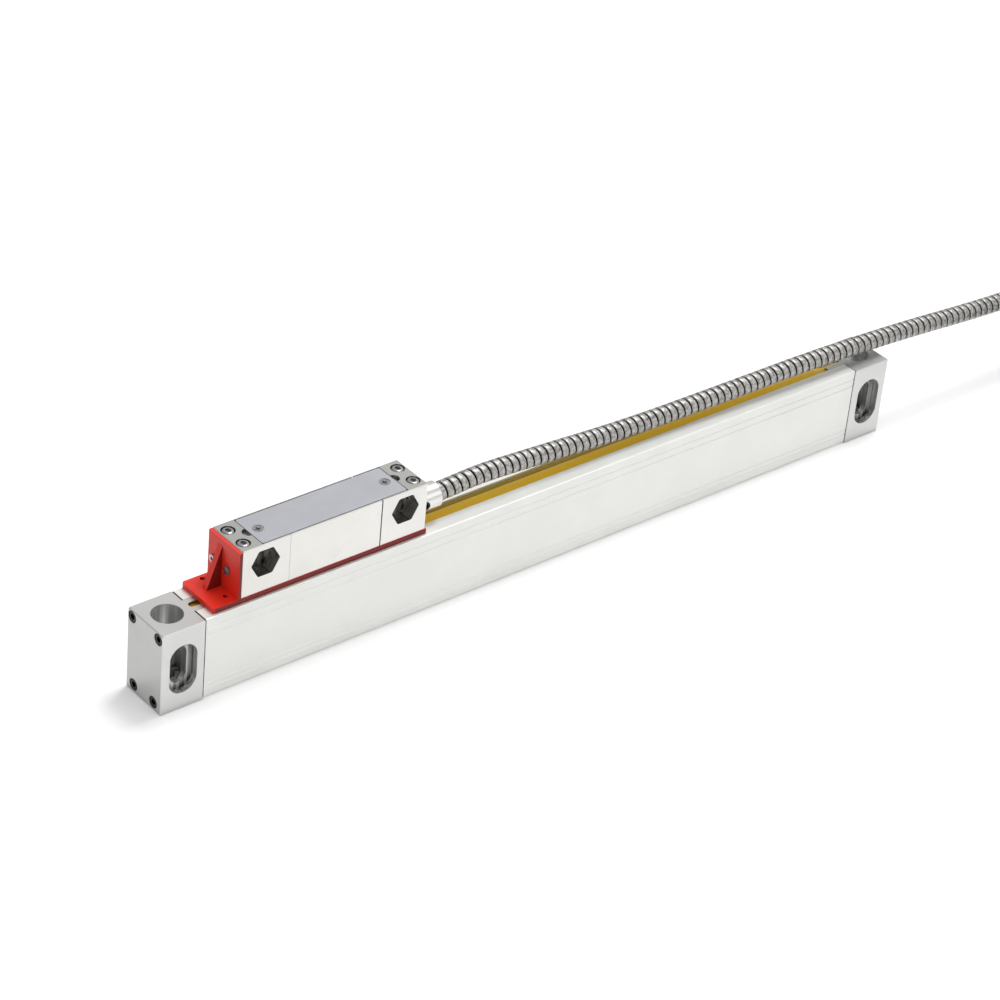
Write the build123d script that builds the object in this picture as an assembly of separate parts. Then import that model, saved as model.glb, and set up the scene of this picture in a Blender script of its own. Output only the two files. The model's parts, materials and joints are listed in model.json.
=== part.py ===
"""Sealed linear glass scale with its reading head and armoured lead.

Millimetres. X runs along the scale, -Y is the front with the slots, +Z is up.
The origin is under the middle of the scale, in the plane its end blocks stand on.
"""
from build123d import *
import math
import os

# Fits between pieces
snug = 0.03             # radial gap of a screw or pin in its hole
slide_gap = 0.1         # gap between sliding faces
loose_gap = 0.2         # gap of a screw in a through hole, radially

# Travel of the head, and the lengths that go with it
travel = 220.0
rest_from_left_limit = 15.0     # where the head stands in its travel
scale_overlength = 110.0        # scale beyond the travel, both ends together
glass_overlength = 66.0         # glass beyond the travel, both ends together

# Scale unit, outside
block_length = 17.0
block_depth = 20.0
block_height = 32.0
block_chamfer = 0.3
gasket_thickness = 0.35
gasket_inset = 0.2
side_inset = 0.35       # the extrusion lies inside the blocks' sides
base_inset = 0.6        # and above their feet
profile_corner = 0.4

# Scale unit, walls of the extrusion
side_wall = 2.0
floor_wall = 2.2
land_thickness = 5.5
throat_width = 7.3
lip_groove_depth = 1.65
lip_groove_height = 1.4
lip_groove_drop = 1.7   # from the lands down to the groove's upper face
boss_width = 3.3
boss_height = 2.1
trim_groove_width = 0.6
trim_groove_depth = 0.25
trim_groove_drops = (3.6, 6.6)      # below the lands
trim_groove_rises = (3.9, 6.0)      # above the foot plane

# Screws of the end blocks
end_screw_diameter = 2.5
end_screw_head = 4.3
end_screw_head_height = 2.4
end_screw_socket = 2.0
end_screw_socket_depth = 1.2
end_screw_grip = 8.0    # thread engaged in the extrusion
end_screw_recess = 0.15
upper_screw_y = 7.5
upper_screw_drop = 2.5
lower_screw_y = 5.7
lower_screw_z = 3.15

# Mounting holes of the end blocks
counterbore_diameter = 11.0
foot_hole_diameter = 6.6
foot_web = 8.0
slot_width = 6.4
slot_height = 14.4
slot_relief_width = 11.0
slot_relief_height = 19.2
slot_relief_depth = 2.9

# Tongue of each end block over the lips
tongue_length = 8.0
tongue_width = 7.1
tongue_thickness = 0.9
tongue_slot = 2.8
tongue_slot_setback = 0.0   # from the block's inner face to the slot's round end

# Seal lips
lip_ridge_drop = 1.0    # below the lands, at the ridge
lip_base_drop = 1.6     # below the lands, at the throat's wall
lip_edge = 0.5          # thickness at the free edge
lip_root = 1.6
lip_part = 1.0          # opening between the free edges

# Glass scale and its rail
glass_thickness = 2.2
glass_height = 11.0
glass_front_y = 0.8
rail_rib = 1.1
rail_height = 3.7
strip_thickness = 0.5
strip_height = 2.6
glass_lift = 1.2        # glass stands this far above the cavity floor, on the rail

# Reading head, outside
head_length = 76.5
head_depth = 17.6
head_height = 18.5
head_gap = 2.0          # from the lands to the head's underside
head_y = 0.4
head_block_length = 19.2
head_chamfer = 0.3
left_seam = 0.08
right_seam = 0.45

# Reading head, inside
head_wall = 1.6
head_floor = 2.0
lid_end_margin = 8.45    # from the lid's end to the head's
lid_width = 15.7
lid_thickness = 1.2
lid_gap = 0.27
head_tongue_length = 6.0
head_tongue_height = 8.0
head_tongue_gap = 0.1

# Nut pockets and bores of the head blocks
nut_pocket_flats = 10.1
nut_pocket_corner = 1.0
nut_pocket_depth = 6.0
head_bore_diameter = 6.6
head_bore_inset = 9.35  # from the head's end
head_bore_rise = 11.3   # above the head's underside

# Small screws of the head
lid_screw_inset = 12.1
lid_screw_diameter = 2.0
lid_screw_head = 3.7
lid_screw_recess = 0.2
lid_screw_rim = 0.3     # gap around the head, in the lid's face
lid_screw_length = 3.6
lid_screw_cross = 0.5
top_screw_inset = 3.2
top_screw_spacing = 8.6
top_screw_diameter = 3.0
top_screw_head = 4.7
top_screw_head_height = 1.5
top_screw_length = 3.4
top_screw_recess = 1.4
top_screw_recess_gap = 0.2
top_screw_socket = 2.0
floor_screw_inset = 3.2
floor_screw_spacing = 9.0
floor_screw_diameter = 2.0
floor_screw_head = 3.6
floor_screw_length = 5.0
pry_notch_diameter = 4.3
pry_notch_depth = 1.2
wall_plug_diameter = 3.0
wall_plug_rise = 4.4

# Blade, flat lead and boards
blade_end_margin = 2.05     # from the blade's end to the head's end segment
blade_thickness = 0.8
blade_clearance = 1.0       # from the carriage's top to the blade's lower edge
flange_end_margin = 4.3     # from the flange's end to the blade's
flange_width = 5.0
flange_thickness = 1.0
blade_screw_inset = 3.7     # from the flange's end
blade_screw_diameter = 2.0
blade_screw_head = 3.6
blade_screw_head_height = 1.2
flat_lead_width = 6.0
flat_lead_thickness = 0.2
flat_lead_inset = 9.0       # from the blade's right end to the lead's middle
flat_lead_foot = 3.0
board_thickness = 1.2
board_margin = 0.5
chips = (               # share of the board's length, length, width, height
    (0.28, 9.0, 6.0, 1.5),
    (0.58, 5.0, 4.0, 1.3),
    (0.82, 4.0, 8.0, 2.4),
)

# Scanning carriage
carriage_length = 62.0
carriage_front_gap = 1.25   # to the cavity's front wall
carriage_face_gap = 1.6     # from the front leg to the glass
carriage_bottom_z = 7.2
carriage_height = 14.8
bridge_clearance = 0.6      # above the glass
rear_leg_width = 2.2
rear_leg_length = 18.0
rear_leg_gap = 1.4          # from the glass to the rear leg
window_width = 12.0
window_height = 4.4
window_z = 10.6
roller_diameter = 4.9
roller_width = 2.0
roller_bore = 1.5
roller_contact_gap = 0.05
roller_pocket_gap = 0.35
roller_end_gap = 0.25
face_roller_inset = 5.0     # from the carriage's ends
face_roller_z = 12.8
lower_roller_offset = 15.0
lower_roller_z = 9.0
edge_roller_inset = 10.0
pin_overhang = 1.6
buffer_diameter = 5.0
buffer_length = 4.0
buffer_y = -3.6
buffer_z = 15.0
coupling_wire_diameter = 0.8
coupling_wire_inset = 8.5   # from the carriage's left end
coupling_wire_depth = 3.0

# Transport bracket
bracket_base_reach = 10.85  # beyond the head's left end
bracket_base_front_y = -8.45
bracket_base_rear_y = 10.0
bracket_end_overhang = 0.5  # beyond the head's right end
bracket_plate = 1.1
bracket_plate_drop = 0.4    # below the head's top
bracket_fork_width = 8.0
bracket_fork_start = 6.0    # from the head's left end
bracket_rib_width = 2.4
bracket_rib_y = 2.6
bracket_rib_reach = 5.8
bracket_rib_drop = 2.6
bracket_corner = 1.0
bracket_hole_diameter = 1.8
bracket_holes = ((-3.9, 7.9), (-3.3, -4.3))     # from the head's left end, and y
bracket_screw_ys = (-1.8, 6.3)
bracket_screw_rise = 8.0
bracket_screw_diameter = 2.0
bracket_screw_head = 3.2
bracket_screw_head_height = 0.6
bracket_screw_grip = 3.1

# Gland and lead
gland_diameter = 9.6
gland_length = 11.0
gland_end_chamfer = 0.9
gland_spigot_diameter = 8.0
gland_spigot_length = 2.6
gland_y = 0.2
gland_rise = 6.0        # above the head's underside
gland_screw_inset = 3.1
gland_screw_diameter = 3.0
gland_screw_proud = 0.3
lead_diameter = 2.8
lead_bore = 3.3
conduit_diameter = 7.0
conduit_seat = 0.6      # its end, from the head's right end
conduit_bore_gap = 0.05

# Route of the conduit, chosen by hand: from the gland over the right block to the top of the coil
run_points = (
    (-42.0, 0.2, 40.0),
    (-27.0, 0.2, 41.3),
    (-3.0, 0.0, 40.4),
    (40.0, -0.7, 37.75),
    (84.0, -1.5, 37.95),
    (134.0, -2.6, 38.75),
    (179.0, -3.0, 36.9),
    (218.0, -3.1, 34.1),
    (250.0, -3.2, 30.2),
    (277.0, -3.1, 26.6),
    (300.0, -3.0, 24.9),
)
tail_points = (
    (285.6, -84.7, 3.6),
    (278.0, -81.9, 4.0),
    (270.5, -79.5, 4.8),
    (263.0, -77.7, 5.9),
    (255.5, -76.3, 7.0),
    (248.0, -75.4, 7.8),
)

# Coil of the lead that is put away
coil_centre = (300.0, -45.1)
coil_inner_radius = 24.3
coil_outer_radius = 45.7
coil_height = 28.4
coil_corner = 3.2

# Plug at the far end
plug_y = -75.4
plug_height = 15.6
plug_rear_x = 243.0
hood_length = 36.0
hood_width = 18.4
hood_neck_width = 12.0
hood_neck_length = 7.0
hood_corner = 1.2
collar_width = 31.4
collar_length = 6.0
shell_width = 16.9
shell_height = 8.3
shell_depth = 6.0
shell_wall = 0.5
shell_flange = (30.8, 12.5, 1.0)
shell_slant = 10.0
pin_pitch = 2.77
pin_row_gap = 2.84
pin_diameter = 1.0
pin_length = 5.2
insert_thickness = 2.0
thumb_spacing = 25.0
thumb_knob_diameter = 5.8
thumb_knob_length = 13.0
thumb_screw_diameter = 2.8
thumb_screw_reach = 5.0
thumb_flutes = 8
hood_screw_diameter = 2.4
hood_screw_head = 4.4
hood_screw_head_height = 1.5
hood_screw_socket = 1.5
hood_screw_depth = 9.0
hood_screw_seat = 1.6
hood_screw_inset = 11.0     # from the plug's front to the first one
hood_screw_spacing = 10.0

# Places worked out from the sizes above
scale_length = travel + scale_overlength
glass_length = travel + glass_overlength
head_rest_x = rest_from_left_limit - travel / 2
half_scale = scale_length / 2
inner_face_x = half_scale - block_length
profile_end_x = inner_face_x - gasket_thickness
profile_y = block_depth / 2 - side_inset
cavity_y = profile_y - side_wall
cavity_floor_z = base_inset + floor_wall
land_z = block_height
cavity_top_z = land_z - land_thickness
block_centre_x = half_scale - block_length / 2

head_left_x = head_rest_x - head_length / 2
head_right_x = head_rest_x + head_length / 2
head_front_y = head_y - head_depth / 2
head_rear_y = head_y + head_depth / 2
head_bottom_z = land_z + head_gap
head_top_z = head_bottom_z + head_height
seam_left_x = head_left_x + head_block_length
seam_right_x = head_right_x - head_block_length
head_floor_z = head_bottom_z + head_floor
lid_bottom_z = head_top_z - lid_thickness
tongue_top_z = head_floor_z + head_tongue_gap + head_tongue_height
lid_length = head_length - 2 * lid_end_margin
blade_length = head_length - 2 * head_block_length - 2 * blade_end_margin
flange_length = blade_length - 2 * flange_end_margin
blade_screw_spacing = flange_length - 2 * blade_screw_inset

board_left_x = seam_left_x + board_margin
board_right_x = seam_right_x - board_margin

glass_bottom_z = cavity_floor_z + glass_lift
glass_top_z = glass_bottom_z + glass_height
glass_back_y = glass_front_y + glass_thickness
glass_middle_y = glass_front_y + glass_thickness / 2

carriage_front_y = -cavity_y + carriage_front_gap
carriage_face_y = glass_front_y - carriage_face_gap
carriage_top_z = carriage_bottom_z + carriage_height
blade_bottom_z = carriage_top_z + blade_clearance
face_roller_offset = carriage_length / 2 - face_roller_inset
edge_roller_offset = carriage_length / 2 - edge_roller_inset
coupling_wire_x = head_rest_x - carriage_length / 2 + coupling_wire_inset
rear_leg_y = glass_back_y + rear_leg_gap
rear_leg_back_y = rear_leg_y + rear_leg_width
bridge_z = glass_top_z + bridge_clearance
roller_radius = roller_diameter / 2
face_roller_y = glass_front_y - roller_contact_gap - roller_radius
edge_roller_z = glass_top_z + roller_contact_gap + roller_radius

gland_z = head_bottom_z + gland_rise
conduit_radius = conduit_diameter / 2
conduit_start = (head_right_x + conduit_seat, gland_y, gland_z)
plug_z = plug_height / 2
plug_front_x = plug_rear_x - hood_length


def area(y0, y1, z0, z1):
    """Rectangle in a section across the scale, from its y and z limits."""
    return Pos((y0 + y1) / 2, (z0 + z1) / 2) * Rectangle(y1 - y0, z1 - z0)


def lengthwise(section, x0, x1):
    """Solid with a (y, z) section, from x0 to x1."""
    return extrude(Plane.YZ.offset(x0) * section, amount=x1 - x0)


def block(x0, x1, y0, y1, z0, z1):
    """Box from its limits."""
    return Pos((x0 + x1) / 2, (y0 + y1) / 2, (z0 + z1) / 2) * Box(x1 - x0, y1 - y0, z1 - z0)


def rod(start, direction, diameter, length):
    """Round bar from a start point along a direction."""
    bar = Cylinder(diameter / 2, length, align=(Align.CENTER, Align.CENTER, Align.MIN))
    return Plane(origin=start, z_dir=direction) * bar


def six_sided(start, direction, flats, length, corner=0.0, x_dir=None):
    """Hexagonal bar from a start point along a direction, with round corners if asked."""
    outline = RegularPolygon(flats / 2, 6, major_radius=False)
    if corner > 0:
        outline = fillet(outline.vertices(), corner)
    return extrude(Plane(origin=start, z_dir=direction, x_dir=x_dir) * outline, amount=length)


def cap_screw(seat, direction, diameter, length, head, head_height, socket):
    """Socket screw: seat is the point under the head, direction points along the thread."""
    along = Vector(direction)
    outward = along * -1
    top = Vector(seat) + outward * head_height
    screw = rod(seat, direction, diameter, length) + rod(seat, outward, head, head_height)
    return screw - six_sided(top, direction, socket, min(head_height * 0.55, end_screw_socket_depth))


def obround(width, height, centre, start_y, depth):
    """Upright slot of the given width and height, cut from start_y towards +Y."""
    outline = SlotOverall(height, width, rotation=90)
    plane = Plane(origin=(centre[0], start_y, centre[1]), x_dir=(1, 0, 0), z_dir=(0, 1, 0))
    return extrude(plane * outline, amount=depth)


def tube_path(points):
    """Straight runs joined by tangent arcs, each as large as its two runs allow."""
    corners = [Vector(p) for p in points]
    radii = []
    for before, corner, after in zip(corners, corners[1:], corners[2:]):
        arriving = corner - before
        leaving = after - corner
        half_turn = math.radians(arriving.get_angle(leaving)) / 2
        shorter = min(arriving.length, leaving.length)
        radii.append(0.45 * shorter / math.tan(half_turn))
    print("arc radii:", [round(r) for r in radii])
    return FilletPolyline(*corners, radius=radii)


def tube(points, diameter):
    """Round tube along a route, closed and plain."""
    path = tube_path(points)
    start = Plane(origin=path @ 0, z_dir=path % 0)
    solid = sweep(start * Circle(diameter / 2), path=path)
    expected = math.pi * diameter ** 2 / 4 * path.length
    print("tube length", round(path.length, 1), "volume share", round(solid.volume / expected, 4))
    return solid


# Scale unit

def profile_outline():
    """Outer outline of the extrusion's section."""
    outline = area(-profile_y, profile_y, base_inset, land_z)
    return fillet(outline.vertices(), profile_corner)


def profile_hollow():
    """Cavity and throat of the extrusion's section, with solid bosses for the lower screws."""
    hollow = area(-cavity_y, cavity_y, cavity_floor_z, cavity_top_z)
    boss_inner_y = cavity_y - boss_width
    for side in (-1, 1):
        ys = sorted((side * boss_inner_y, side * cavity_y))
        hollow -= area(*ys, cavity_floor_z, cavity_floor_z + boss_height)
    return hollow + area(-throat_width / 2, throat_width / 2, cavity_floor_z, land_z)


def screw_places():
    """(y, z) of the four screws in each end."""
    upper_z = land_z - upper_screw_drop
    upper = [(side * upper_screw_y, upper_z) for side in (-1, 1)]
    return upper + [(side * lower_screw_y, lower_screw_z) for side in (-1, 1)]


def trim_groove(side, z):
    """V-shaped groove along one side of the extrusion's section."""
    half_width = trim_groove_width / 2
    face_y = side * profile_y
    return make_face(Polyline(
        (face_y, z - half_width), (face_y, z + half_width),
        (side * (profile_y - trim_groove_depth), z), close=True,
    ))


def scale_housing():
    """The extrusion: lands, throat with lip grooves, cavity, glass rail and screw ports."""
    section = profile_outline() - profile_hollow()
    groove_top = land_z - lip_groove_drop
    groove_y = throat_width / 2 + lip_groove_depth
    section -= area(-groove_y, groove_y, groove_top - lip_groove_height, groove_top)
    for front_y, rear_y in (
        (glass_front_y - strip_thickness - rail_rib, glass_front_y - strip_thickness),
        (glass_back_y, glass_back_y + rail_rib),
    ):
        section += area(front_y, rear_y, cavity_floor_z, cavity_floor_z + rail_height)
    rail_front = glass_front_y - strip_thickness
    section += area(rail_front, glass_back_y, cavity_floor_z, glass_bottom_z)
    trim_zs = [land_z - drop for drop in trim_groove_drops] + list(trim_groove_rises)
    for side in (-1, 1):
        for z in trim_zs:
            section -= trim_groove(side, z)
    for y, z in screw_places():
        section -= Pos(y, z) * Circle(end_screw_diameter / 2 + snug)
    return lengthwise(section, -profile_end_x, profile_end_x)


def end_gasket():
    """Left gasket, between the block and the extrusion."""
    inset = gasket_inset
    outline = area(-profile_y + inset, profile_y - inset, base_inset + inset, land_z - inset)
    section = outline - profile_hollow()
    for y, z in screw_places():
        section -= Pos(y, z) * Circle(end_screw_diameter / 2 + loose_gap)
    return lengthwise(section, -inner_face_x, -profile_end_x)


def end_block():
    """Left end block with its tongue, slot, counterbored bore and screw seats."""
    body = block(-half_scale, -inner_face_x, -block_depth / 2, block_depth / 2, 0, block_height)
    body = chamfer(body.edges(), block_chamfer)
    tongue_end = -profile_end_x + tongue_length
    body += block(
        -inner_face_x - block_chamfer, tongue_end,
        -tongue_width / 2, tongue_width / 2, land_z - tongue_thickness, land_z,
    )
    slot_start = -inner_face_x + tongue_slot_setback + tongue_slot / 2
    cut_z = land_z - tongue_thickness
    body -= block(slot_start, tongue_end, -tongue_slot / 2, tongue_slot / 2, cut_z, land_z)
    body -= rod((slot_start, 0, cut_z), (0, 0, 1), tongue_slot, tongue_thickness)
    middle = (-block_centre_x, block_height / 2)
    front = -block_depth / 2
    body -= obround(slot_width, slot_height, middle, front, block_depth)
    body -= obround(slot_relief_width, slot_relief_height, middle, front, slot_relief_depth)
    well_depth = block_height - foot_web
    body -= rod((middle[0], 0, foot_web), (0, 0, 1), counterbore_diameter, well_depth)
    body -= rod((middle[0], 0, 0), (0, 0, 1), foot_hole_diameter, foot_web)
    seat_depth = end_screw_head_height + end_screw_recess
    for y, z in screw_places():
        start = (-half_scale, y, z)
        body -= rod(start, (1, 0, 0), end_screw_diameter + 2 * loose_gap, block_length)
        body -= rod(start, (1, 0, 0), end_screw_head + 2 * loose_gap / 2, seat_depth)
    return body


def end_screws():
    """The left block's four socket screws."""
    seat_x = -half_scale + end_screw_recess + end_screw_head_height
    length = -profile_end_x + end_screw_grip - seat_x
    return Compound([
        cap_screw((seat_x, y, z), (1, 0, 0), end_screw_diameter, length,
                  end_screw_head, end_screw_head_height, end_screw_socket)
        for y, z in screw_places()
    ])


def front_lip():
    """Front seal lip: root in its groove, and a tapered lip that rises to the ridge."""
    wall_y = -throat_width / 2 + snug
    base_z = land_z - lip_base_drop
    ridge_z = land_z - lip_ridge_drop
    groove_top = land_z - lip_groove_drop
    root_top = groove_top - snug
    root_bottom = groove_top - lip_groove_height + snug
    points = [
        (wall_y, base_z), (-lip_part / 2, ridge_z), (-lip_part / 2, ridge_z - lip_edge),
        (wall_y + 1.1, root_bottom + 0.6), (wall_y, root_bottom),
        (wall_y - lip_root, root_bottom), (wall_y - lip_root, root_top), (wall_y, root_top),
    ]
    section = make_face(Polyline(*points, close=True))
    return lengthwise(section, -profile_end_x, profile_end_x)


def glass_scale():
    """Glass strip that carries the grating."""
    body = block(-glass_length / 2, glass_length / 2, glass_front_y, glass_back_y,
                 glass_bottom_z, glass_top_z)
    return chamfer(body.edges().filter_by(Axis.X).sort_by(Axis.Z)[-2:], 0.3)


def glass_clamp_strip():
    """Elastic strip between the rail's front rib and the glass."""
    front = glass_front_y - strip_thickness
    return block(-glass_length / 2, glass_length / 2, front, glass_front_y,
                 glass_bottom_z, glass_bottom_z + strip_height)


def stop_buffer():
    """Left rubber stop for the carriage."""
    pad = rod((-inner_face_x, buffer_y, buffer_z), (1, 0, 0), buffer_diameter, buffer_length)
    return chamfer(pad.edges().sort_by(Axis.X)[-1], 0.6)


# Reading head

def lid_limits(gap=0.0):
    """x and y limits of the lid, or of its recess with the gap."""
    half_length = lid_length / 2 + gap
    half_width = lid_width / 2 + gap
    return (head_rest_x - half_length, head_rest_x + half_length,
            head_y - half_width, head_y + half_width)


def head_body():
    """Middle segment: a channel with a ledge for the lid and a slot for the blade."""
    x0 = seam_left_x + left_seam
    x1 = seam_right_x - right_seam
    channel = area(head_front_y, head_rear_y, head_bottom_z, head_top_z)
    inner_front = head_front_y + head_wall
    inner_rear = head_rear_y - head_wall
    channel -= area(inner_front, inner_rear, head_floor_z, head_top_z)
    recess = lid_limits(lid_gap)
    channel -= area(recess[2], recess[3], lid_bottom_z, head_top_z)
    body = lengthwise(channel, x0, x1)
    long_edges = body.edges().filter_by(Axis.X)
    body = chamfer(long_edges.group_by(Axis.Y)[0] + long_edges.group_by(Axis.Y)[-1], head_chamfer)
    half_slot = blade_length / 2 + loose_gap
    half_width = blade_thickness / 2 + slide_gap
    body -= block(head_rest_x - half_slot, head_rest_x + half_slot, -half_width, half_width,
                  head_bottom_z, head_floor_z)
    plug_z_level = head_bottom_z + wall_plug_rise
    body -= rod((head_rest_x, head_front_y, plug_z_level), (0, 1, 0),
                wall_plug_diameter + 2 * snug, head_wall)
    for x, y in floor_screw_places():
        body -= floor_screw(x, y, loose_gap / 2)
    for x in blade_screw_places():
        body -= rod((x, flange_middle_y(), head_bottom_z), (0, 0, 1),
                    blade_screw_diameter + 2 * snug, head_floor)
    return body


def flange_middle_y():
    """Middle of the blade's flange, behind the blade."""
    return blade_thickness / 2 + (flange_width - blade_thickness / 2) / 2 + 0.3


def blade_screw_places():
    """x of the two screws in the blade's flange."""
    return [head_rest_x + side * blade_screw_spacing / 2 for side in (-1, 1)]


def floor_screw_places():
    """(x, y) of the four screws that hold the end segments' tongues."""
    xs = (seam_left_x + floor_screw_inset, seam_right_x - floor_screw_inset)
    return [(x, head_y + side * floor_screw_spacing / 2) for x in xs for side in (-1, 1)]


def floor_screw(x, y, gap=0.0):
    """Countersunk screw from below, or its hole with the gap."""
    radius = floor_screw_diameter / 2 + gap
    cone_height = (floor_screw_head - floor_screw_diameter) / 2
    cone = Cone(floor_screw_head / 2 + gap, radius, cone_height,
                align=(Align.CENTER, Align.CENTER, Align.MIN))
    shank = rod((x, y, head_bottom_z), (0, 0, 1), 2 * radius, floor_screw_length + gap)
    return Pos(x, y, head_bottom_z) * cone + shank


def top_screw_places(outer_x, inward):
    """(x, y) of the two upright screws of an end segment."""
    x = outer_x + inward * top_screw_inset
    return [(x, head_y + side * top_screw_spacing / 2) for side in (-1, 1)]


def head_block(outer_x, inward):
    """End segment of the head: nut pocket, through bore, lid recess, tongue and tapped holes."""
    inner_x = outer_x + inward * head_block_length
    xs = sorted((outer_x, inner_x))
    body = block(*xs, head_front_y, head_rear_y, head_bottom_z, head_top_z)
    mating_edges = body.faces().sort_by(Axis.X)[-1 if inward > 0 else 0].edges()
    body = chamfer([edge for edge in body.edges() if edge not in mating_edges], head_chamfer)
    tongue_xs = sorted((inner_x - inward * head_chamfer, inner_x + inward * head_tongue_length))
    body += block(*tongue_xs, head_front_y + head_wall + head_tongue_gap,
                  head_rear_y - head_wall - head_tongue_gap,
                  head_floor_z, tongue_top_z)
    bore_x = outer_x + inward * head_bore_inset
    bore_z = head_bottom_z + head_bore_rise
    body -= rod((bore_x, head_front_y, bore_z), (0, 1, 0), head_bore_diameter, head_depth)
    body -= six_sided((bore_x, head_front_y, bore_z), (0, 1, 0), nut_pocket_flats,
                      nut_pocket_depth, nut_pocket_corner, x_dir=(1, 0, 0))
    recess = lid_limits(lid_gap)
    body -= block(*recess, lid_bottom_z, head_top_z)
    lid_end = head_rest_x - inward * (lid_length / 2 + lid_gap)
    body -= rod((lid_end, head_y, head_top_z - pry_notch_depth), (0, 0, 1),
                pry_notch_diameter, pry_notch_depth)
    body -= rod((outer_x + inward * lid_screw_inset, head_y, lid_bottom_z - lid_screw_length),
                (0, 0, 1), lid_screw_diameter + 2 * snug, lid_screw_length)
    seat_z = head_top_z - top_screw_recess
    for x, y in top_screw_places(outer_x, inward):
        body -= rod((x, y, seat_z - top_screw_length), (0, 0, 1),
                    top_screw_diameter + 2 * snug, top_screw_length)
        body -= rod((x, y, seat_z), (0, 0, 1), top_screw_head + 2 * top_screw_recess_gap,
                    top_screw_recess)
    for x, y in floor_screw_places():
        body -= floor_screw(x, y, snug)
    return body


def head_left_block():
    """Left end segment, tapped for the bracket's screws."""
    body = head_block(head_left_x, 1)
    for y in bracket_screw_ys:
        body -= rod((head_left_x, y, head_bottom_z + bracket_screw_rise), (1, 0, 0),
                    bracket_screw_diameter + 2 * snug, bracket_screw_grip)
    return body


def head_right_block():
    """Right end segment, bored for the lead and the gland's spigot."""
    body = head_block(head_right_x, -1)
    start = (head_right_x, gland_y, gland_z)
    reach = head_block_length + head_tongue_length
    body -= rod(start, (-1, 0, 0), lead_bore, reach)
    body -= rod(start, (-1, 0, 0), gland_spigot_diameter + 2 * snug, gland_spigot_length)
    return body


def head_lid():
    """Thin lid in its recess, countersunk for two screws."""
    limits = lid_limits()
    lid = block(*limits, lid_bottom_z, head_top_z)
    lid = chamfer(lid.edges().filter_by(Axis.Z), 0.4)
    for x in lid_screw_places():
        lid -= lid_screw(x, snug)
        lid -= rod((x, head_y, head_top_z - lid_screw_recess), (0, 0, 1),
                   lid_screw_head + 2 * lid_screw_rim, lid_screw_recess)
    return lid


def lid_screw_places():
    """x of the two lid screws."""
    return [head_left_x + lid_screw_inset, head_right_x - lid_screw_inset]


def lid_screw(x, gap=0.0):
    """Countersunk lid screw, or its hole with the gap."""
    radius = lid_screw_diameter / 2 + gap
    cone_height = (lid_screw_head - lid_screw_diameter) / 2
    cone = Cone(radius, lid_screw_head / 2 + gap, cone_height,
                align=(Align.CENTER, Align.CENTER, Align.MIN))
    top_z = head_top_z - lid_screw_recess
    bottom_z = lid_bottom_z - lid_screw_length + loose_gap
    shank = rod((x, head_y, bottom_z), (0, 0, 1), 2 * radius, top_z - bottom_z)
    return Pos(x, head_y, top_z - cone_height) * cone + shank


def head_lid_screws():
    """Two cross-recess screws."""
    screws = []
    for x in lid_screw_places():
        screw = lid_screw(x)
        half = lid_screw_head * 0.3
        slot = lid_screw_cross / 2
        cross_z = head_top_z - lid_screw_recess - lid_screw_cross
        screw -= block(x - half, x + half, head_y - slot, head_y + slot, cross_z, head_top_z)
        screw -= block(x - slot, x + slot, head_y - half, head_y + half, cross_z, head_top_z)
        screws.append(screw)
    return Compound(screws)


def head_top_screws():
    """Four short button screws in the upright tapped holes."""
    seat_z = head_top_z - top_screw_recess
    places = top_screw_places(head_left_x, 1) + top_screw_places(head_right_x, -1)
    screws = []
    for x, y in places:
        head = rod((x, y, seat_z), (0, 0, 1), top_screw_head, top_screw_head_height)
        head = fillet(head.edges().sort_by(Axis.Z)[-1], top_screw_head_height * 0.7)
        shank = rod((x, y, seat_z - top_screw_length), (0, 0, 1), top_screw_diameter,
                    top_screw_length)
        top = (x, y, seat_z + top_screw_head_height)
        screws.append(head + shank - six_sided(top, (0, 0, -1), top_screw_socket, 0.9))
    return Compound(screws)


def head_floor_screws():
    """Four countersunk screws under the head."""
    return Compound([floor_screw(x, y) for x, y in floor_screw_places()])


def head_plug():
    """Flush plug in the middle segment's front wall."""
    z = head_bottom_z + wall_plug_rise
    return rod((head_rest_x, head_front_y, z), (0, 1, 0), wall_plug_diameter, head_wall)


def flat_lead_limits(gap=0.0):
    """x limits of the flat lead, or of its channel with the gap."""
    middle = head_rest_x + blade_length / 2 - flat_lead_inset
    return middle - flat_lead_width / 2 - gap, middle + flat_lead_width / 2 + gap


def blade():
    """Thin blade between the lips, with a flange on the head's floor and a lead channel."""
    x0 = head_rest_x - blade_length / 2
    x1 = head_rest_x + blade_length / 2
    half = blade_thickness / 2
    plate = block(x0, x1, -half, half, blade_bottom_z, head_floor_z - slide_gap)
    plate = chamfer(plate.edges().filter_by(Axis.Z), half * 0.9)
    flange_x0 = head_rest_x - flange_length / 2
    flange_x1 = head_rest_x + flange_length / 2
    plate += block(flange_x0, flange_x1, -half, half, blade_bottom_z,
                   head_floor_z + flange_thickness)
    flange = block(flange_x0, flange_x1, half - 0.05, flange_width, head_floor_z,
                   head_floor_z + flange_thickness)
    lead_x0, lead_x1 = flat_lead_limits(loose_gap)
    channel_y = half - flat_lead_thickness - snug
    body = plate + flange
    body -= block(lead_x0, lead_x1, channel_y, half + 0.6, blade_bottom_z,
                  head_floor_z + flange_thickness)
    for x in blade_screw_places():
        body -= rod((x, flange_middle_y(), head_floor_z), (0, 0, 1),
                    blade_screw_diameter + 2 * loose_gap, flange_thickness)
    return body


def blade_screws():
    """Two screws that hold the blade's flange to the head's floor."""
    seat_z = head_floor_z + flange_thickness
    length = flange_thickness + head_floor - loose_gap
    return Compound([
        cap_screw((x, flange_middle_y(), seat_z), (0, 0, -1), blade_screw_diameter, length,
                  blade_screw_head, blade_screw_head_height, 1.5)
        for x in blade_screw_places()
    ])


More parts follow.
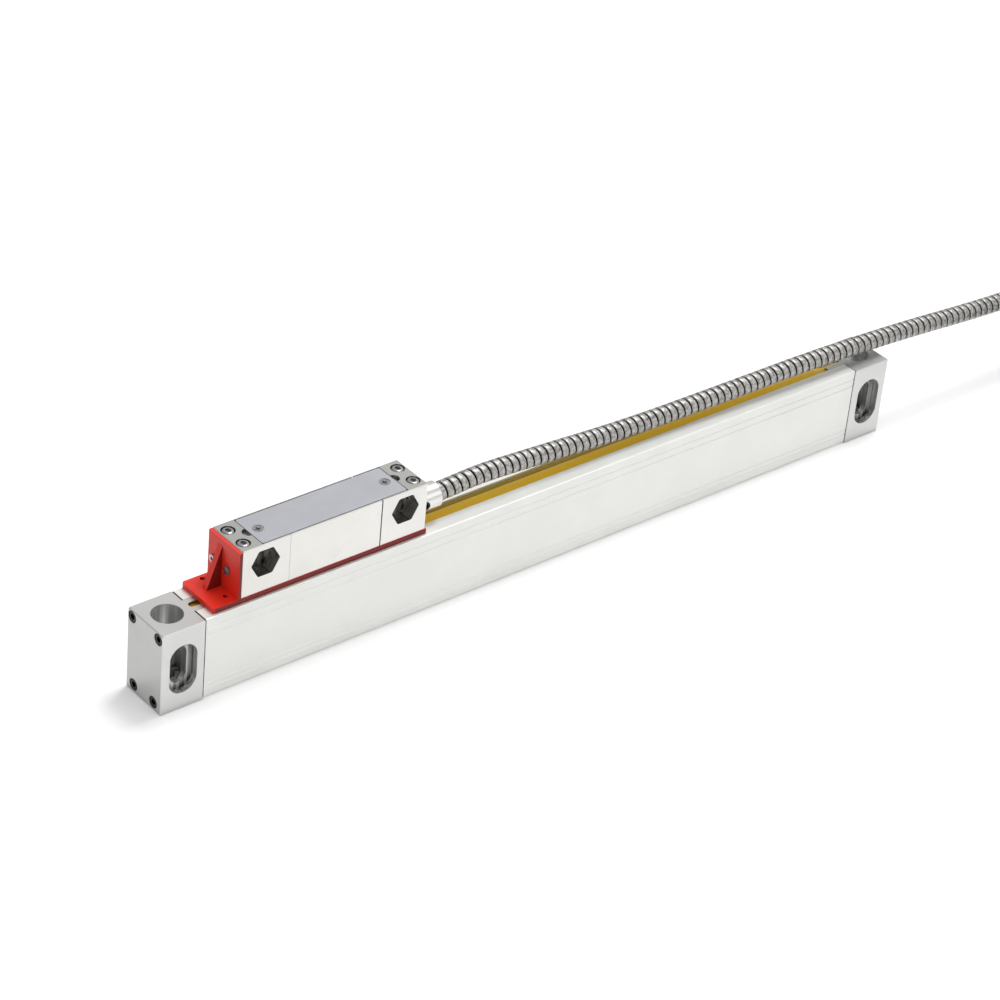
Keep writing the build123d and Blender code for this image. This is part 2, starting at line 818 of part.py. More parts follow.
def signal_flex():
    """Flat lead in the blade's channel, from the carriage's top to the head's board."""
    x0, x1 = flat_lead_limits()
    back = blade_thickness / 2 - snug
    front = back - flat_lead_thickness
    upright = block(x0, x1, front, back, carriage_top_z, tongue_top_z)
    foot = block(x0, x1, -flat_lead_foot, back, carriage_top_z, carriage_top_z + flat_lead_thickness)
    return upright + foot


def head_board():
    """Amplifier board on the two tongues."""
    return block(board_left_x, board_right_x,
                 head_front_y + head_wall + board_margin, head_rear_y - head_wall - board_margin,
                 tongue_top_z, tongue_top_z + board_thickness)


def board_chips():
    """Two chips and a connector on the head's board."""
    board_length = board_right_x - board_left_x
    z = tongue_top_z + board_thickness
    return Compound([
        Pos(board_left_x + share * board_length, head_y, z + height / 2) * Box(length, width, height)
        for share, length, width, height in chips
    ])


def signal_lead():
    """Round lead from the head's inside to the start of the conduit."""
    length = head_block_length + head_tongue_length + conduit_seat + 1.0
    start = (head_right_x + conduit_seat, gland_y, gland_z)
    return rod(start, (-1, 0, 0), lead_diameter, length)


# Scanning carriage on the glass

def carriage():
    """Frame that straddles the glass, with roller pockets and the light window."""
    x0 = head_rest_x - carriage_length / 2
    x1 = head_rest_x + carriage_length / 2
    front_leg = area(carriage_front_y, carriage_face_y, carriage_bottom_z, carriage_top_z)
    bridge = area(carriage_face_y, rear_leg_back_y, bridge_z, carriage_top_z)
    body = lengthwise(front_leg + bridge, x0, x1)
    rear_leg = area(rear_leg_y, rear_leg_back_y, carriage_bottom_z, bridge_z)
    half_leg = rear_leg_length / 2
    body += lengthwise(rear_leg, head_rest_x - half_leg, head_rest_x + half_leg)
    body = chamfer(body.edges().filter_by(Axis.Z).group_by(Axis.X)[0], 0.8)
    body = chamfer(body.edges().filter_by(Axis.Z).group_by(Axis.X)[-1], 0.8)
    body -= block(head_rest_x - window_width / 2, head_rest_x + window_width / 2,
                  carriage_front_y, rear_leg_back_y,
                  window_z - window_height / 2, window_z + window_height / 2)
    pocket = roller_diameter + 2 * roller_pocket_gap
    depth = roller_width + 2 * roller_end_gap
    for x, z in face_roller_places():
        body -= rod((x, face_roller_y, z - depth / 2), (0, 0, 1), pocket, depth)
    for x in edge_roller_places():
        body -= rod((x, glass_middle_y - depth / 2, edge_roller_z), (0, 1, 0), pocket, depth)
        body -= block(x - pocket / 2, x + pocket / 2, glass_middle_y - depth / 2,
                      glass_middle_y + depth / 2, bridge_z, edge_roller_z)
    for start, direction, length in pin_places():
        body -= rod(start, direction, roller_bore, length)
    body -= rod((coupling_wire_x, 0, carriage_top_z - coupling_wire_depth), (0, 0, 1),
                coupling_wire_diameter + 2 * snug, coupling_wire_depth)
    return body


def face_roller_places():
    """(x, z) of the three rollers that run on the glass's front face."""
    upper = [(head_rest_x + side * face_roller_offset, face_roller_z) for side in (-1, 1)]
    return upper + [(head_rest_x + lower_roller_offset, lower_roller_z)]


def edge_roller_places():
    """x of the two rollers that run on the glass's upper edge."""
    return [head_rest_x + side * edge_roller_offset for side in (-1, 1)]


def pin_places():
    """Start, direction and length of each roller pin."""
    length = roller_width + 2 * roller_end_gap + 2 * pin_overhang
    pins = [((x, face_roller_y, z - length / 2), (0, 0, 1), length)
            for x, z in face_roller_places()]
    return pins + [((x, glass_middle_y - length / 2, edge_roller_z), (0, 1, 0), length)
                   for x in edge_roller_places()]


def roller_pins():
    """Five pins, pressed into the carriage."""
    return Compound([rod(start, direction, roller_bore, length)
                     for start, direction, length in pin_places()])


def roller(centre, direction):
    """Ball-bearing roller with its bore and rounded edges."""
    start = Vector(centre) - Vector(direction) * (roller_width / 2)
    ring = rod(start, direction, roller_diameter, roller_width)
    ring = chamfer(ring.edges(), 0.2)
    bore = rod(start, direction, roller_bore + 2 * snug, roller_width)
    return ring - bore


def carriage_board():
    """Detector board on the carriage's front side."""
    return block(head_rest_x - 11, head_rest_x + 11, carriage_front_y - 0.8, carriage_front_y,
                 window_z - 3.2, window_z + 6.0)


def photo_array():
    """Light detector on the board, inside the window."""
    return block(head_rest_x - 5, head_rest_x + 5, carriage_front_y, carriage_front_y + 0.9,
                 window_z - 1.8, window_z + 1.8)


def index_reticle():
    """Small glass with the index grating, between the front leg and the scale."""
    return block(head_rest_x - 8, head_rest_x + 8, carriage_face_y, carriage_face_y + 1.0,
                 window_z - 3.2, window_z + 3.4)


def light_board():
    """Light source board on the rear leg."""
    return block(head_rest_x - 8, head_rest_x + 8, rear_leg_back_y, rear_leg_back_y + 0.6,
                 window_z - 3.2, window_z + 3.4)


def light_lens():
    """Condenser lens in the rear leg's window."""
    return block(head_rest_x - window_width / 2 + snug, head_rest_x + window_width / 2 - snug,
                 rear_leg_y + 0.4, rear_leg_back_y,
                 window_z - window_height / 2 + snug, window_z + window_height / 2 - snug)


def coupling_wire():
    """Spring wire from the blade's lower edge to the carriage."""
    blade_x = head_rest_x - blade_length / 4 + 3
    level = blade_bottom_z - coupling_wire_diameter / 2
    foot_z = carriage_top_z - coupling_wire_depth + loose_gap
    path = FilletPolyline((coupling_wire_x, 0, foot_z), (coupling_wire_x, 0, level),
                          (blade_x, 0, level), radius=coupling_wire_diameter * 0.55)
    start = Plane(origin=path @ 0, z_dir=path % 0)
    return sweep(start * Circle(coupling_wire_diameter / 2), path=path)


# Transport bracket

def transport_bracket():
    """Red bracket: forked base under the head, upright at its left end and a rib."""
    left = head_left_x - bracket_base_reach
    right = head_right_x + bracket_end_overhang
    base = block(left, right, bracket_base_front_y, bracket_base_rear_y,
                 land_z + slide_gap, head_bottom_z)
    corners = base.edges().filter_by(Axis.Z).group_by(Axis.X)[0]
    base = fillet(corners, bracket_corner)
    fork_start = head_left_x + bracket_fork_start
    base -= block(fork_start, right, -bracket_fork_width / 2, bracket_fork_width / 2,
                  land_z + slide_gap, head_bottom_z)
    base -= rod((fork_start, 0, land_z + slide_gap), (0, 0, 1), bracket_fork_width,
                head_bottom_z - land_z - slide_gap)
    upright = block(head_left_x - bracket_plate, head_left_x, head_front_y, head_rear_y,
                    head_bottom_z, head_top_z - bracket_plate_drop)
    face_x = head_left_x - bracket_plate
    rib_outline = Polyline(
        (face_x, head_bottom_z), (face_x, head_top_z - bracket_rib_drop),
        (face_x - bracket_rib_reach, head_bottom_z), close=True,
    )
    rib_face = make_face(Plane(origin=(0, bracket_rib_y + bracket_rib_width / 2, 0),
                               x_dir=(1, 0, 0), z_dir=(0, -1, 0)) * rib_outline)
    rib = extrude(rib_face, amount=bracket_rib_width)
    body = base + upright + rib
    for offset, y in bracket_holes:
        body -= rod((head_left_x + offset, y, land_z), (0, 0, 1), bracket_hole_diameter, head_gap)
    for y in bracket_screw_ys:
        body -= rod((face_x, y, head_bottom_z + bracket_screw_rise), (1, 0, 0),
                    bracket_screw_diameter + 2 * loose_gap, bracket_plate)
    return body


def bracket_screws():
    """Two screws that hold the bracket to the head."""
    face_x = head_left_x - bracket_plate
    length = bracket_plate + bracket_screw_grip - loose_gap
    return Compound([
        cap_screw((face_x, y, head_bottom_z + bracket_screw_rise), (1, 0, 0),
                  bracket_screw_diameter, length, bracket_screw_head,
                  bracket_screw_head_height, 1.3)
        for y in bracket_screw_ys
    ])


# Gland, conduit and plug

def conduit_gland():
    """Bright collar that grips the conduit, with a spigot in the head."""
    start = (head_right_x, gland_y, gland_z)
    collar = rod(start, (1, 0, 0), gland_diameter, gland_length)
    collar = chamfer(collar.edges().sort_by(Axis.X)[-1], gland_end_chamfer)
    collar += rod(start, (-1, 0, 0), gland_spigot_diameter, gland_spigot_length)
    bore = conduit_diameter + 2 * conduit_bore_gap
    seat = (head_right_x + conduit_seat, gland_y, gland_z)
    collar -= rod(seat, (1, 0, 0), bore, gland_length)
    inside = (head_right_x - gland_spigot_length, gland_y, gland_z)
    collar -= rod(inside, (1, 0, 0), lead_bore, gland_spigot_length + conduit_seat)
    screw_start = (head_right_x + gland_screw_inset, gland_y, gland_z)
    collar -= rod(screw_start, (0, -1, 0), gland_screw_diameter + 2 * snug, gland_diameter)
    return collar


def gland_set_screw():
    """Set screw that presses on the conduit from the front."""
    inner = conduit_radius + conduit_bore_gap
    length = gland_diameter / 2 + gland_screw_proud - inner
    start = (head_right_x + gland_screw_inset, gland_y - inner, gland_z)
    screw = rod(start, (0, -1, 0), gland_screw_diameter, length)
    outer = (start[0], start[1] - length, start[2])
    return screw - six_sided(outer, (0, 1, 0), 1.5, 1.0)


def conduit_run():
    """Conduit from the gland to the coil."""
    return tube((conduit_start,) + run_points, conduit_diameter) - conduit_coil()


def conduit_tail():
    """Conduit from the coil to the plug."""
    end = (plug_rear_x - hood_neck_length, plug_y, plug_z)
    return tube(tail_points + (end,), conduit_diameter) - conduit_coil()


def conduit_coil():
    """Outer shape of the coiled length."""
    ring = Cylinder(coil_outer_radius, coil_height, align=(Align.CENTER, Align.CENTER, Align.MIN))
    ring -= Cylinder(coil_inner_radius, coil_height, align=(Align.CENTER, Align.CENTER, Align.MIN))
    ring = fillet(ring.edges().filter_by(GeomType.CIRCLE), coil_corner)
    return Pos(*coil_centre, 0) * ring


def plug_hood():
    """Hood of the plug: neck, body and collar with ears for the thumb screws."""
    body = block(plug_front_x, plug_rear_x - hood_neck_length, plug_y - hood_width / 2,
                 plug_y + hood_width / 2, 0, plug_height)
    body = fillet(body.edges().filter_by(Axis.X), hood_corner)
    neck = rod((plug_rear_x - hood_neck_length, plug_y, plug_z), (1, 0, 0), hood_neck_width,
               hood_neck_length)
    collar = block(plug_front_x, plug_front_x + collar_length, plug_y - collar_width / 2,
                   plug_y + collar_width / 2, 0, plug_height)
    collar = fillet(collar.edges().filter_by(Axis.X), hood_corner)
    body = body + neck + collar
    body -= rod((plug_rear_x - hood_neck_length, plug_y, plug_z), (1, 0, 0),
                conduit_diameter + 2 * conduit_bore_gap, hood_neck_length)
    for side in (-1, 1):
        start = (plug_front_x, plug_y + side * thumb_spacing / 2, plug_z)
        body -= rod(start, (1, 0, 0), thumb_screw_diameter + 2 * loose_gap, collar_length)
    for x in hood_screw_places():
        body -= rod((x, plug_y, plug_height - hood_screw_depth), (0, 0, 1),
                    hood_screw_diameter + 2 * snug, hood_screw_depth)
        body -= rod((x, plug_y, plug_height - hood_screw_seat), (0, 0, 1),
                    hood_screw_head + 2 * loose_gap, hood_screw_seat)
    return body


def hood_screw_places():
    """x of the two screws that close the hood."""
    first_x = plug_front_x + hood_screw_inset
    return [first_x, first_x + hood_screw_spacing]


def plug_cover_screws():
    """Two screws that close the hood."""
    return Compound([
        cap_screw((x, plug_y, plug_height - hood_screw_seat), (0, 0, -1), hood_screw_diameter,
                  hood_screw_depth - hood_screw_seat - loose_gap, hood_screw_head,
                  hood_screw_head_height, hood_screw_socket)
        for x in hood_screw_places()
    ])


def d_outline(width, height):
    """Rounded D-shaped outline in the plug's face, wide side up."""
    inset = height * math.tan(math.radians(shell_slant))
    outline = make_face(Polyline(
        (-width / 2, height / 2), (width / 2, height / 2),
        (width / 2 - inset, -height / 2), (-width / 2 + inset, -height / 2), close=True,
    ))
    return fillet(outline.vertices(), 1.8)


def facing_plane(x):
    """Plane across the plug at x, looking out of its face."""
    return Plane(origin=(x, plug_y, plug_z), x_dir=(0, -1, 0), z_dir=(-1, 0, 0))


def plug_shell():
    """Metal flange and D-shaped shell."""
    width, height, thickness = shell_flange
    flange = extrude(facing_plane(plug_front_x) * Rectangle(width, height), amount=thickness)
    flange = fillet(flange.edges().filter_by(Axis.X), 1.5)
    outer = d_outline(shell_width, shell_height)
    shell = extrude(facing_plane(plug_front_x) * outer, amount=shell_depth)
    inner = d_outline(shell_width - 2 * shell_wall, shell_height - 2 * shell_wall)
    body = flange + shell
    body -= extrude(facing_plane(plug_front_x) * inner, amount=shell_depth)
    for side in (-1, 1):
        start = (plug_front_x, plug_y + side * thumb_spacing / 2, plug_z)
        body -= rod(start, (-1, 0, 0), thumb_screw_diameter + 2 * loose_gap, thickness)
    return body


def pin_places_in_plug():
    """(across, up) of the nine contacts, five in the upper row."""
    upper = [((i - 2) * pin_pitch, pin_row_gap / 2) for i in range(5)]
    return upper + [((i - 1.5) * pin_pitch, -pin_row_gap / 2) for i in range(4)]


def plug_insert():
    """Moulded insert that holds the contacts."""
    gap = shell_wall + snug
    outline = d_outline(shell_width - 2 * gap, shell_height - 2 * gap)
    body = extrude(facing_plane(plug_front_x) * outline, amount=insert_thickness)
    for across, up in pin_places_in_plug():
        start = facing_plane(plug_front_x).from_local_coords((across, up, 0))
        body -= rod(start, (-1, 0, 0), pin_diameter + 2 * snug, insert_thickness)
    return body


def plug_pins():
    """Nine contact pins."""
    pins = []
    for across, up in pin_places_in_plug():
        start = facing_plane(plug_front_x).from_local_coords((across, up, 0))
        pins.append(rod(start, (-1, 0, 0), pin_diameter, pin_length))
    return Compound(pins)


def thumb_screw(side):
    """Fluted thumb screw beside the hood."""
    y = plug_y + side * thumb_spacing / 2
    knob_x = plug_front_x + collar_length + slide_gap
    knob = rod((knob_x, y, plug_z), (1, 0, 0), thumb_knob_diameter, thumb_knob_length)
    knob = chamfer(knob.edges().sort_by(Axis.X)[-1], 0.5)
    for i in range(thumb_flutes):
        turn = math.radians(360 * i / thumb_flutes)
        reach = thumb_knob_diameter / 2 + 0.25
        start = (knob_x + 3, y + reach * math.cos(turn), plug_z + reach * math.sin(turn))
        knob -= rod(start, (1, 0, 0), 1.0, thumb_knob_length)
    length = collar_length + slide_gap + thumb_screw_reach
    return knob + rod((knob_x, y, plug_z), (-1, 0, 0), thumb_screw_diameter, length)


def mirrored(shape):
    """The same piece at the other end of the scale."""
    return mirror(shape, about=Plane.YZ)


def all_pieces():
    """Every node by name."""
    left_block = end_block()
    left_gasket = end_gasket()
    left_screws = end_screws()
    left_buffer = stop_buffer()
    lip = front_lip()
    faces = face_roller_places()
    edges = edge_roller_places()
    return {
        "scale_housing": scale_housing(),
        "left_end_block": left_block,
        "right_end_block": mirrored(left_block),
        "left_end_gasket": left_gasket,
        "right_end_gasket": mirrored(left_gasket),
        "left_block_screws": left_screws,
        "right_block_screws": mirrored(left_screws),
        "front_seal_lip": lip,
        "rear_seal_lip": mirror(lip, about=Plane.XZ),
        "glass_scale": glass_scale(),
        "glass_clamp_strip": glass_clamp_strip(),
        "left_stop_buffer": left_buffer,
        "right_stop_buffer": mirrored(left_buffer),
        "head_body": head_body(),
        "head_left_block": head_left_block(),
        "head_right_block": head_right_block(),
        "head_lid": head_lid(),
        "head_lid_screws": head_lid_screws(),
        "head_top_screws": head_top_screws(),
        "head_floor_screws": head_floor_screws(),
        "head_plug": head_plug(),
        "blade": blade(),
        "blade_screws": blade_screws(),
        "signal_flex": signal_flex(),
        "head_board": head_board(),
        "board_chips": board_chips(),
        "signal_lead": signal_lead(),
        "scanning_carriage": carriage(),
        "roller_pins": roller_pins(),
        "left_face_roller": roller((faces[0][0], face_roller_y, faces[0][1]), (0, 0, 1)),
        "right_face_roller": roller((faces[1][0], face_roller_y, faces[1][1]), (0, 0, 1)),
        "lower_face_roller": roller((faces[2][0], face_roller_y, faces[2][1]), (0, 0, 1)),
        "left_edge_roller": roller((edges[0], glass_middle_y, edge_roller_z), (0, 1, 0)),
        "right_edge_roller": roller((edges[1], glass_middle_y, edge_roller_z), (0, 1, 0)),
        "carriage_board": carriage_board(),
        "photo_array": photo_array(),
        "index_reticle": index_reticle(),
        "light_board": light_board(),
        "light_lens": light_lens(),
        "coupling_wire": coupling_wire(),
        "transport_bracket": transport_bracket(),
        "bracket_screws": bracket_screws(),
        "conduit_gland": conduit_gland(),
        "gland_set_screw": gland_set_screw(),
        "conduit_run": conduit_run(),
        "conduit_coil": conduit_coil(),
        "conduit_tail": conduit_tail(),
        "plug_hood": plug_hood(),
        "plug_cover_screws": plug_cover_screws(),
        "plug_shell": plug_shell(),
        "plug_insert": plug_insert(),
        "plug_pins": plug_pins(),
        "left_thumb_screw": thumb_screw(1),
        "right_thumb_screw": thumb_screw(-1),
    }


os.makedirs("parts", exist_ok=True)
for name, shape in all_pieces().items():
    export_step(shape, f"parts/{name}.step")
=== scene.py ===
"""Dressed model of a sealed linear glass scale with its reading head and armoured lead."""

import bisect
import json
import logging
import math
from dataclasses import dataclass, field
from enum import Enum
from typing import Any, Dict, List, Sequence, Tuple

import bpy
from mathutils import Matrix, Vector

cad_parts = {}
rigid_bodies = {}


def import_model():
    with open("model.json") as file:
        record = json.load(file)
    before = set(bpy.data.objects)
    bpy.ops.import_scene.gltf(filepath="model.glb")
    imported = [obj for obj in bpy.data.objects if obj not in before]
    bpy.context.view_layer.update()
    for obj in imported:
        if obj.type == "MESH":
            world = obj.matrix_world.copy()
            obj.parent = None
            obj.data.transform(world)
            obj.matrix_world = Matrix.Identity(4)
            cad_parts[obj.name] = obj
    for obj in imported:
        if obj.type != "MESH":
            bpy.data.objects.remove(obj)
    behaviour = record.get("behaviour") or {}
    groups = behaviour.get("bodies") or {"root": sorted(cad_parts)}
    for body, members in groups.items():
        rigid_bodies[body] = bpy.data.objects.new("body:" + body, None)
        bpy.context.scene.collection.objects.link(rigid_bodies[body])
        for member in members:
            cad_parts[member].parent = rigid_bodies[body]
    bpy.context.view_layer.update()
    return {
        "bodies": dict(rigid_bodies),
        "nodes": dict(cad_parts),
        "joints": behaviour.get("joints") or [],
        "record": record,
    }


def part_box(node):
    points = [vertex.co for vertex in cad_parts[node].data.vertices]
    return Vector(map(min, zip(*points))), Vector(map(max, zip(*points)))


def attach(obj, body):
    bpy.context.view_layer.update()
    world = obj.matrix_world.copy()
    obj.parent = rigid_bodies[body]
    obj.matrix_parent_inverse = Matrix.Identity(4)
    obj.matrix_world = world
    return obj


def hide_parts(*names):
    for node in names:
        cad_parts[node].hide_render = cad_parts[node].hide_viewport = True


log = logging.getLogger("glass_scale")

Point = Tuple[float, float, float]
Colour = Tuple[float, float, float]
Rgba = Tuple[float, float, float, float]
Band = Tuple[float, float]
MM = 0.001
BODY_OF_SCALE = "scale_body"
BODY_OF_HEAD = "reading_head"
GAP_DEPTH = "gap_depth"
NOISE_BAND: Band = (0.3, 0.7)      # where nearly all of a noise's values lie
FACING_BAND: Band = (0.90, 0.97)   # cosines between "looks aside" and "looks along the axis"
AO_SAMPLES = 6


class Grain(Enum):
    """Direction in which a surface was drawn, ground or milled."""

    NONE = (1.0, 1.0, 1.0)
    ALONG_X = (0.02, 1.0, 1.0)
    ALONG_Z = (1.0, 1.0, 0.02)


class Ray(Enum):
    """Kinds of ray that see the pale studio at full strength."""

    CAMERA = "Is Camera Ray"
    GLOSSY = "Is Glossy Ray"
    TRANSMISSION = "Is Transmission Ray"


def linear(hex_colour: str) -> Colour:
    """Linear colour of an sRGB hex triplet.

    Args:
        hex_colour: six hex digits, such as "d0d0d0".

    Returns:
        Red, green and blue, linear, from 0 to 1.
    """
    values = [int(hex_colour[i:i + 2], 16) / 255 for i in (0, 2, 4)]
    red, green, blue = [
        v / 12.92 if v <= 0.04045 else ((v + 0.055) / 1.055) ** 2.4 for v in values
    ]
    return red, green, blue


def held(value: float) -> float:
    """The value, held between 0 and 1."""
    return min(max(value, 0.0), 1.0)


def eased(share: float) -> float:
    """0 up to a share of 0, 1 from a share of 1, and smooth between."""
    return 0.5 - 0.5 * math.cos(math.pi * held(share))


def around(value: float, spread: float) -> Band:
    """The value less and more a share of itself."""
    return value * (1 - spread), value * (1 + spread)


def shade(colour: Colour, share: float) -> Rgba:
    """Colour made lighter or darker by a share, with full alpha."""
    red, green, blue = [held(c * share) for c in colour]
    return red, green, blue, 1.0


# Finishes


@dataclass(frozen=True)
class PaintedFacingShade:
    """Painted light and shade: the faces that look along one axis, made lighter or darker by a
    share.
    """

    axis: str
    sign: float
    share: float


@dataclass(frozen=True)
class SurfaceNodes:
    """Node tree of one material, with short calls for the nodes that finishes share."""

    material: bpy.types.Material

    @property
    def tree(self) -> bpy.types.NodeTree:
        """The material's node tree."""
        return self.material.node_tree

    @property
    def shader(self) -> bpy.types.Node:
        """The principled shader."""
        return self.tree.nodes["Principled BSDF"]

    def add(self, kind: str, **values: Any) -> bpy.types.Node:
        """Adds a node.

        Args:
            kind: Blender's node type.
            values: attributes to set on it.

        Returns:
            The new node.
        """
        node = self.tree.nodes.new(kind)
        for name, value in values.items():
            setattr(node, name, value)
        return node

    def link(self, source: bpy.types.NodeSocket, target: bpy.types.NodeSocket) -> None:
        """Links an output to an input."""
        self.tree.links.new(source, target)

    def noise(self, scale: float, stretch: Grain = Grain.NONE,
              detail: float = 2.0) -> bpy.types.NodeSocket:
        """Noise in the object's own metres.

        Args:
            scale: cells per metre.
            stretch: direction in which the cells are drawn out.
            detail: octaves of the noise.

        Returns:
            The noise factor's socket.
        """
        place = self.add("ShaderNodeTexCoord")
        mapping = self.add("ShaderNodeMapping")
        mapping.inputs["Scale"].default_value = stretch.value
        noise = self.add("ShaderNodeTexNoise")
        noise.inputs["Scale"].default_value = scale
        noise.inputs["Detail"].default_value = detail
        self.link(place.outputs["Object"], mapping.inputs["Vector"])
        self.link(mapping.outputs["Vector"], noise.inputs["Vector"])
        return noise.outputs["Fac"]

    def tint(self, factor: bpy.types.NodeSocket, colour: Colour, shares: Band) -> None:
        """Colours the surface between two shades of a colour by a factor.

        Args:
            factor: the factor's socket.
            colour: the colour that is made darker and lighter.
            shares: how much of it the low and the high end of the factor have.
        """
        ramp = self.add("ShaderNodeValToRGB")
        for element, place, share in zip(ramp.color_ramp.elements, NOISE_BAND, shares):
            element.position = place
            element.color = shade(colour, share)
        self.link(factor, ramp.inputs["Fac"])
        self.link(ramp.outputs["Color"], self.shader.inputs["Base Color"])

    def span(self, value: bpy.types.NodeSocket, source: Band, target: Band) -> bpy.types.NodeSocket:
        """Maps a value from one range to another, held at both ends.

        Args:
            value: the value's socket.
            source: the range that the value comes in.
            target: what the two ends of that range become.

        Returns:
            The mapped value's socket.
        """
        node = self.add("ShaderNodeMapRange")
        names = ("From Min", "From Max", "To Min", "To Max")
        for name, number in zip(names, (*source, *target)):
            node.inputs[name].default_value = number
        self.link(value, node.inputs["Value"])
        return node.outputs["Result"]

    def blend(self, factor: bpy.types.NodeSocket, low: Any, high: Any) -> bpy.types.NodeSocket:
        """Value between two others.

        Args:
            factor: the socket that leads from the one to the other.
            low: a number or a socket, the value at 0.
            high: a number or a socket, the value at 1.

        Returns:
            The blended value's socket.
        """
        node = self.add("ShaderNodeMix")
        self.link(factor, node.inputs["Factor"])
        for name, value in (("A", low), ("B", high)):
            if isinstance(value, bpy.types.NodeSocket):
                self.link(value, node.inputs[name])
            else:
                node.inputs[name].default_value = value
        return node.outputs["Result"]

    def openness(self, reach: float, alone: bool = True) -> bpy.types.NodeSocket:
        """1 on open faces, and less in bores, slots and corners.

        Args:
            reach: metres within which other faces count.
            alone: whether only the piece's own faces count.

        Returns:
            The socket of the open share.
        """
        node = self.add("ShaderNodeAmbientOcclusion", samples=AO_SAMPLES, only_local=alone)
        node.inputs["Distance"].default_value = reach
        return node.outputs["AO"]

    def facing(self, axis: str, sign: float) -> bpy.types.NodeSocket:
        """1 on faces that look along an axis of the frame, 0 elsewhere.

        Args:
            axis: the axis, such as "X".
            sign: 1 for its positive end and -1 for its negative one.

        Returns:
            The socket of that value.
        """
        geometry = self.add("ShaderNodeNewGeometry")
        parts = self.add("ShaderNodeSeparateXYZ")
        self.link(geometry.outputs["True Normal"], parts.inputs["Vector"])
        aside, along = [sign * cosine for cosine in FACING_BAND]
        return self.span(parts.outputs[axis], (aside, along), (0.0, 1.0))

    def scale_colour(self, factor: bpy.types.NodeSocket) -> None:
        """Multiplies the base colour by a factor.

        Args:
            factor: the factor's socket.
        """
        target = self.shader.inputs["Base Color"]
        source = target.links[0].from_socket
        node = self.add("ShaderNodeVectorMath", operation="SCALE")
        self.link(source, node.inputs[0])
        self.link(factor, node.inputs["Scale"])
        self.link(node.outputs["Vector"], target)

    def paint_facing_shade(self, facing_shade: PaintedFacingShade) -> None:
        """Paints light or shade on the faces that look along one axis, by making their colour
        lighter or darker.
        """
        share = self.span(self.facing(facing_shade.axis, facing_shade.sign), (0.0, 1.0), (1.0, facing_shade.share))
        self.scale_colour(share)

    def roughen(self, factor: bpy.types.NodeSocket, ends: Band) -> None:
        """Varies the roughness between two values by a factor."""
        self.link(self.span(factor, NOISE_BAND, ends), self.shader.inputs["Roughness"])

    def emboss(self, heights: Sequence[Tuple[bpy.types.NodeSocket, float]]) -> None:
        """Raises the surface by several height fields.

        Args:
            heights: pairs of a factor's socket and its depth in metres.
        """
        normal = None
        for factor, depth in heights:
            bump = self.add("ShaderNodeBump")
            bump.inputs["Strength"].default_value = 1.0
            bump.inputs["Distance"].default_value = depth
            self.link(factor, bump.inputs["Height"])
            if normal is not None:
                self.link(normal, bump.inputs["Normal"])
            normal = bump.outputs["Normal"]
        self.link(normal, self.shader.inputs["Normal"])


def new_surface(name: str) -> SurfaceNodes:
    """An empty material with a principled shader.

    Args:
        name: the material's name.

    Returns:
        Its nodes.
    """
    material = bpy.data.materials.new(name)
    material.use_nodes = True
    return SurfaceNodes(material)


@dataclass(frozen=True)
class MetalFinish:
    """Bare or anodised metal with a fine grain."""

    name: str
    colour: Colour
    roughness: float = 0.38
    metallic: float = 1.0
    grain: Grain = Grain.NONE
    grain_scale: float = 6000.0
    grain_depth: float = 0.000004
    cloud_scale: float = 60.0
    variation: float = 0.04
    roughness_spread: float = 0.15
    # painted shade in bores and pockets: the colour's shares where they are most closed in
    recess_shade: Band = (1.0, 1.0)
    recess_shade_reach: float = 0.007
    recess_shade_band: Band = (0.45, 0.92)
    cutter_scale: float = 900.0
    cutter_band: Band = (0.40, 0.60)
    # painted shadow: the colour's share where other pieces or the floor come closest
    contact_shadow: float = 1.0
    contact_shadow_reach: float = 0.005
    contact_shadow_band: Band = (0.20, 0.62)
    waviness: float = 0.000008
    painted_facing_shades: Tuple[PaintedFacingShade, ...] = ()

    def build(self) -> bpy.types.Material:
        """Makes the material.

        Returns:
            The material.
        """
        nodes = new_surface(self.name)
        nodes.shader.inputs["Metallic"].default_value = self.metallic
        fine = nodes.noise(self.grain_scale, self.grain, 3.0)
        cloud = nodes.noise(self.cloud_scale, Grain.NONE, 3.0)
        nodes.tint(cloud, self.colour, around(1.0, self.variation))
        nodes.roughen(fine, around(self.roughness, self.roughness_spread))
        nodes.emboss([(fine, self.grain_depth), (cloud, self.waviness)])
        # painted shade in bores and pockets, streaked with cutter marks
        if min(self.recess_shade) < 1.0:
            self.paint_recess_shade(nodes)
        # painted shadow where other pieces and the floor come close
        if self.contact_shadow < 1.0:
            near = nodes.openness(self.contact_shadow_reach, alone=False)
            nodes.scale_colour(nodes.span(near, self.contact_shadow_band, (self.contact_shadow, 1.0)))
        # painted light and shade on the faces that look along given axes
        for facing_shade in self.painted_facing_shades:
            nodes.paint_facing_shade(facing_shade)
        return nodes.material

    def paint_recess_shade(self, nodes: SurfaceNodes) -> None:
        """Paints shade into bores and pockets, streaked with the cutter's upright marks.

        Args:
            nodes: the material's nodes, whose base colour is already linked.
        """
        cutter = nodes.noise(self.cutter_scale, Grain.ALONG_Z, 1.0)
        marks = nodes.span(cutter, self.cutter_band, self.recess_shade)
        opened = nodes.span(nodes.openness(self.recess_shade_reach), self.recess_shade_band, (0.0, 1.0))
        nodes.scale_colour(nodes.blend(opened, marks, 1.0))


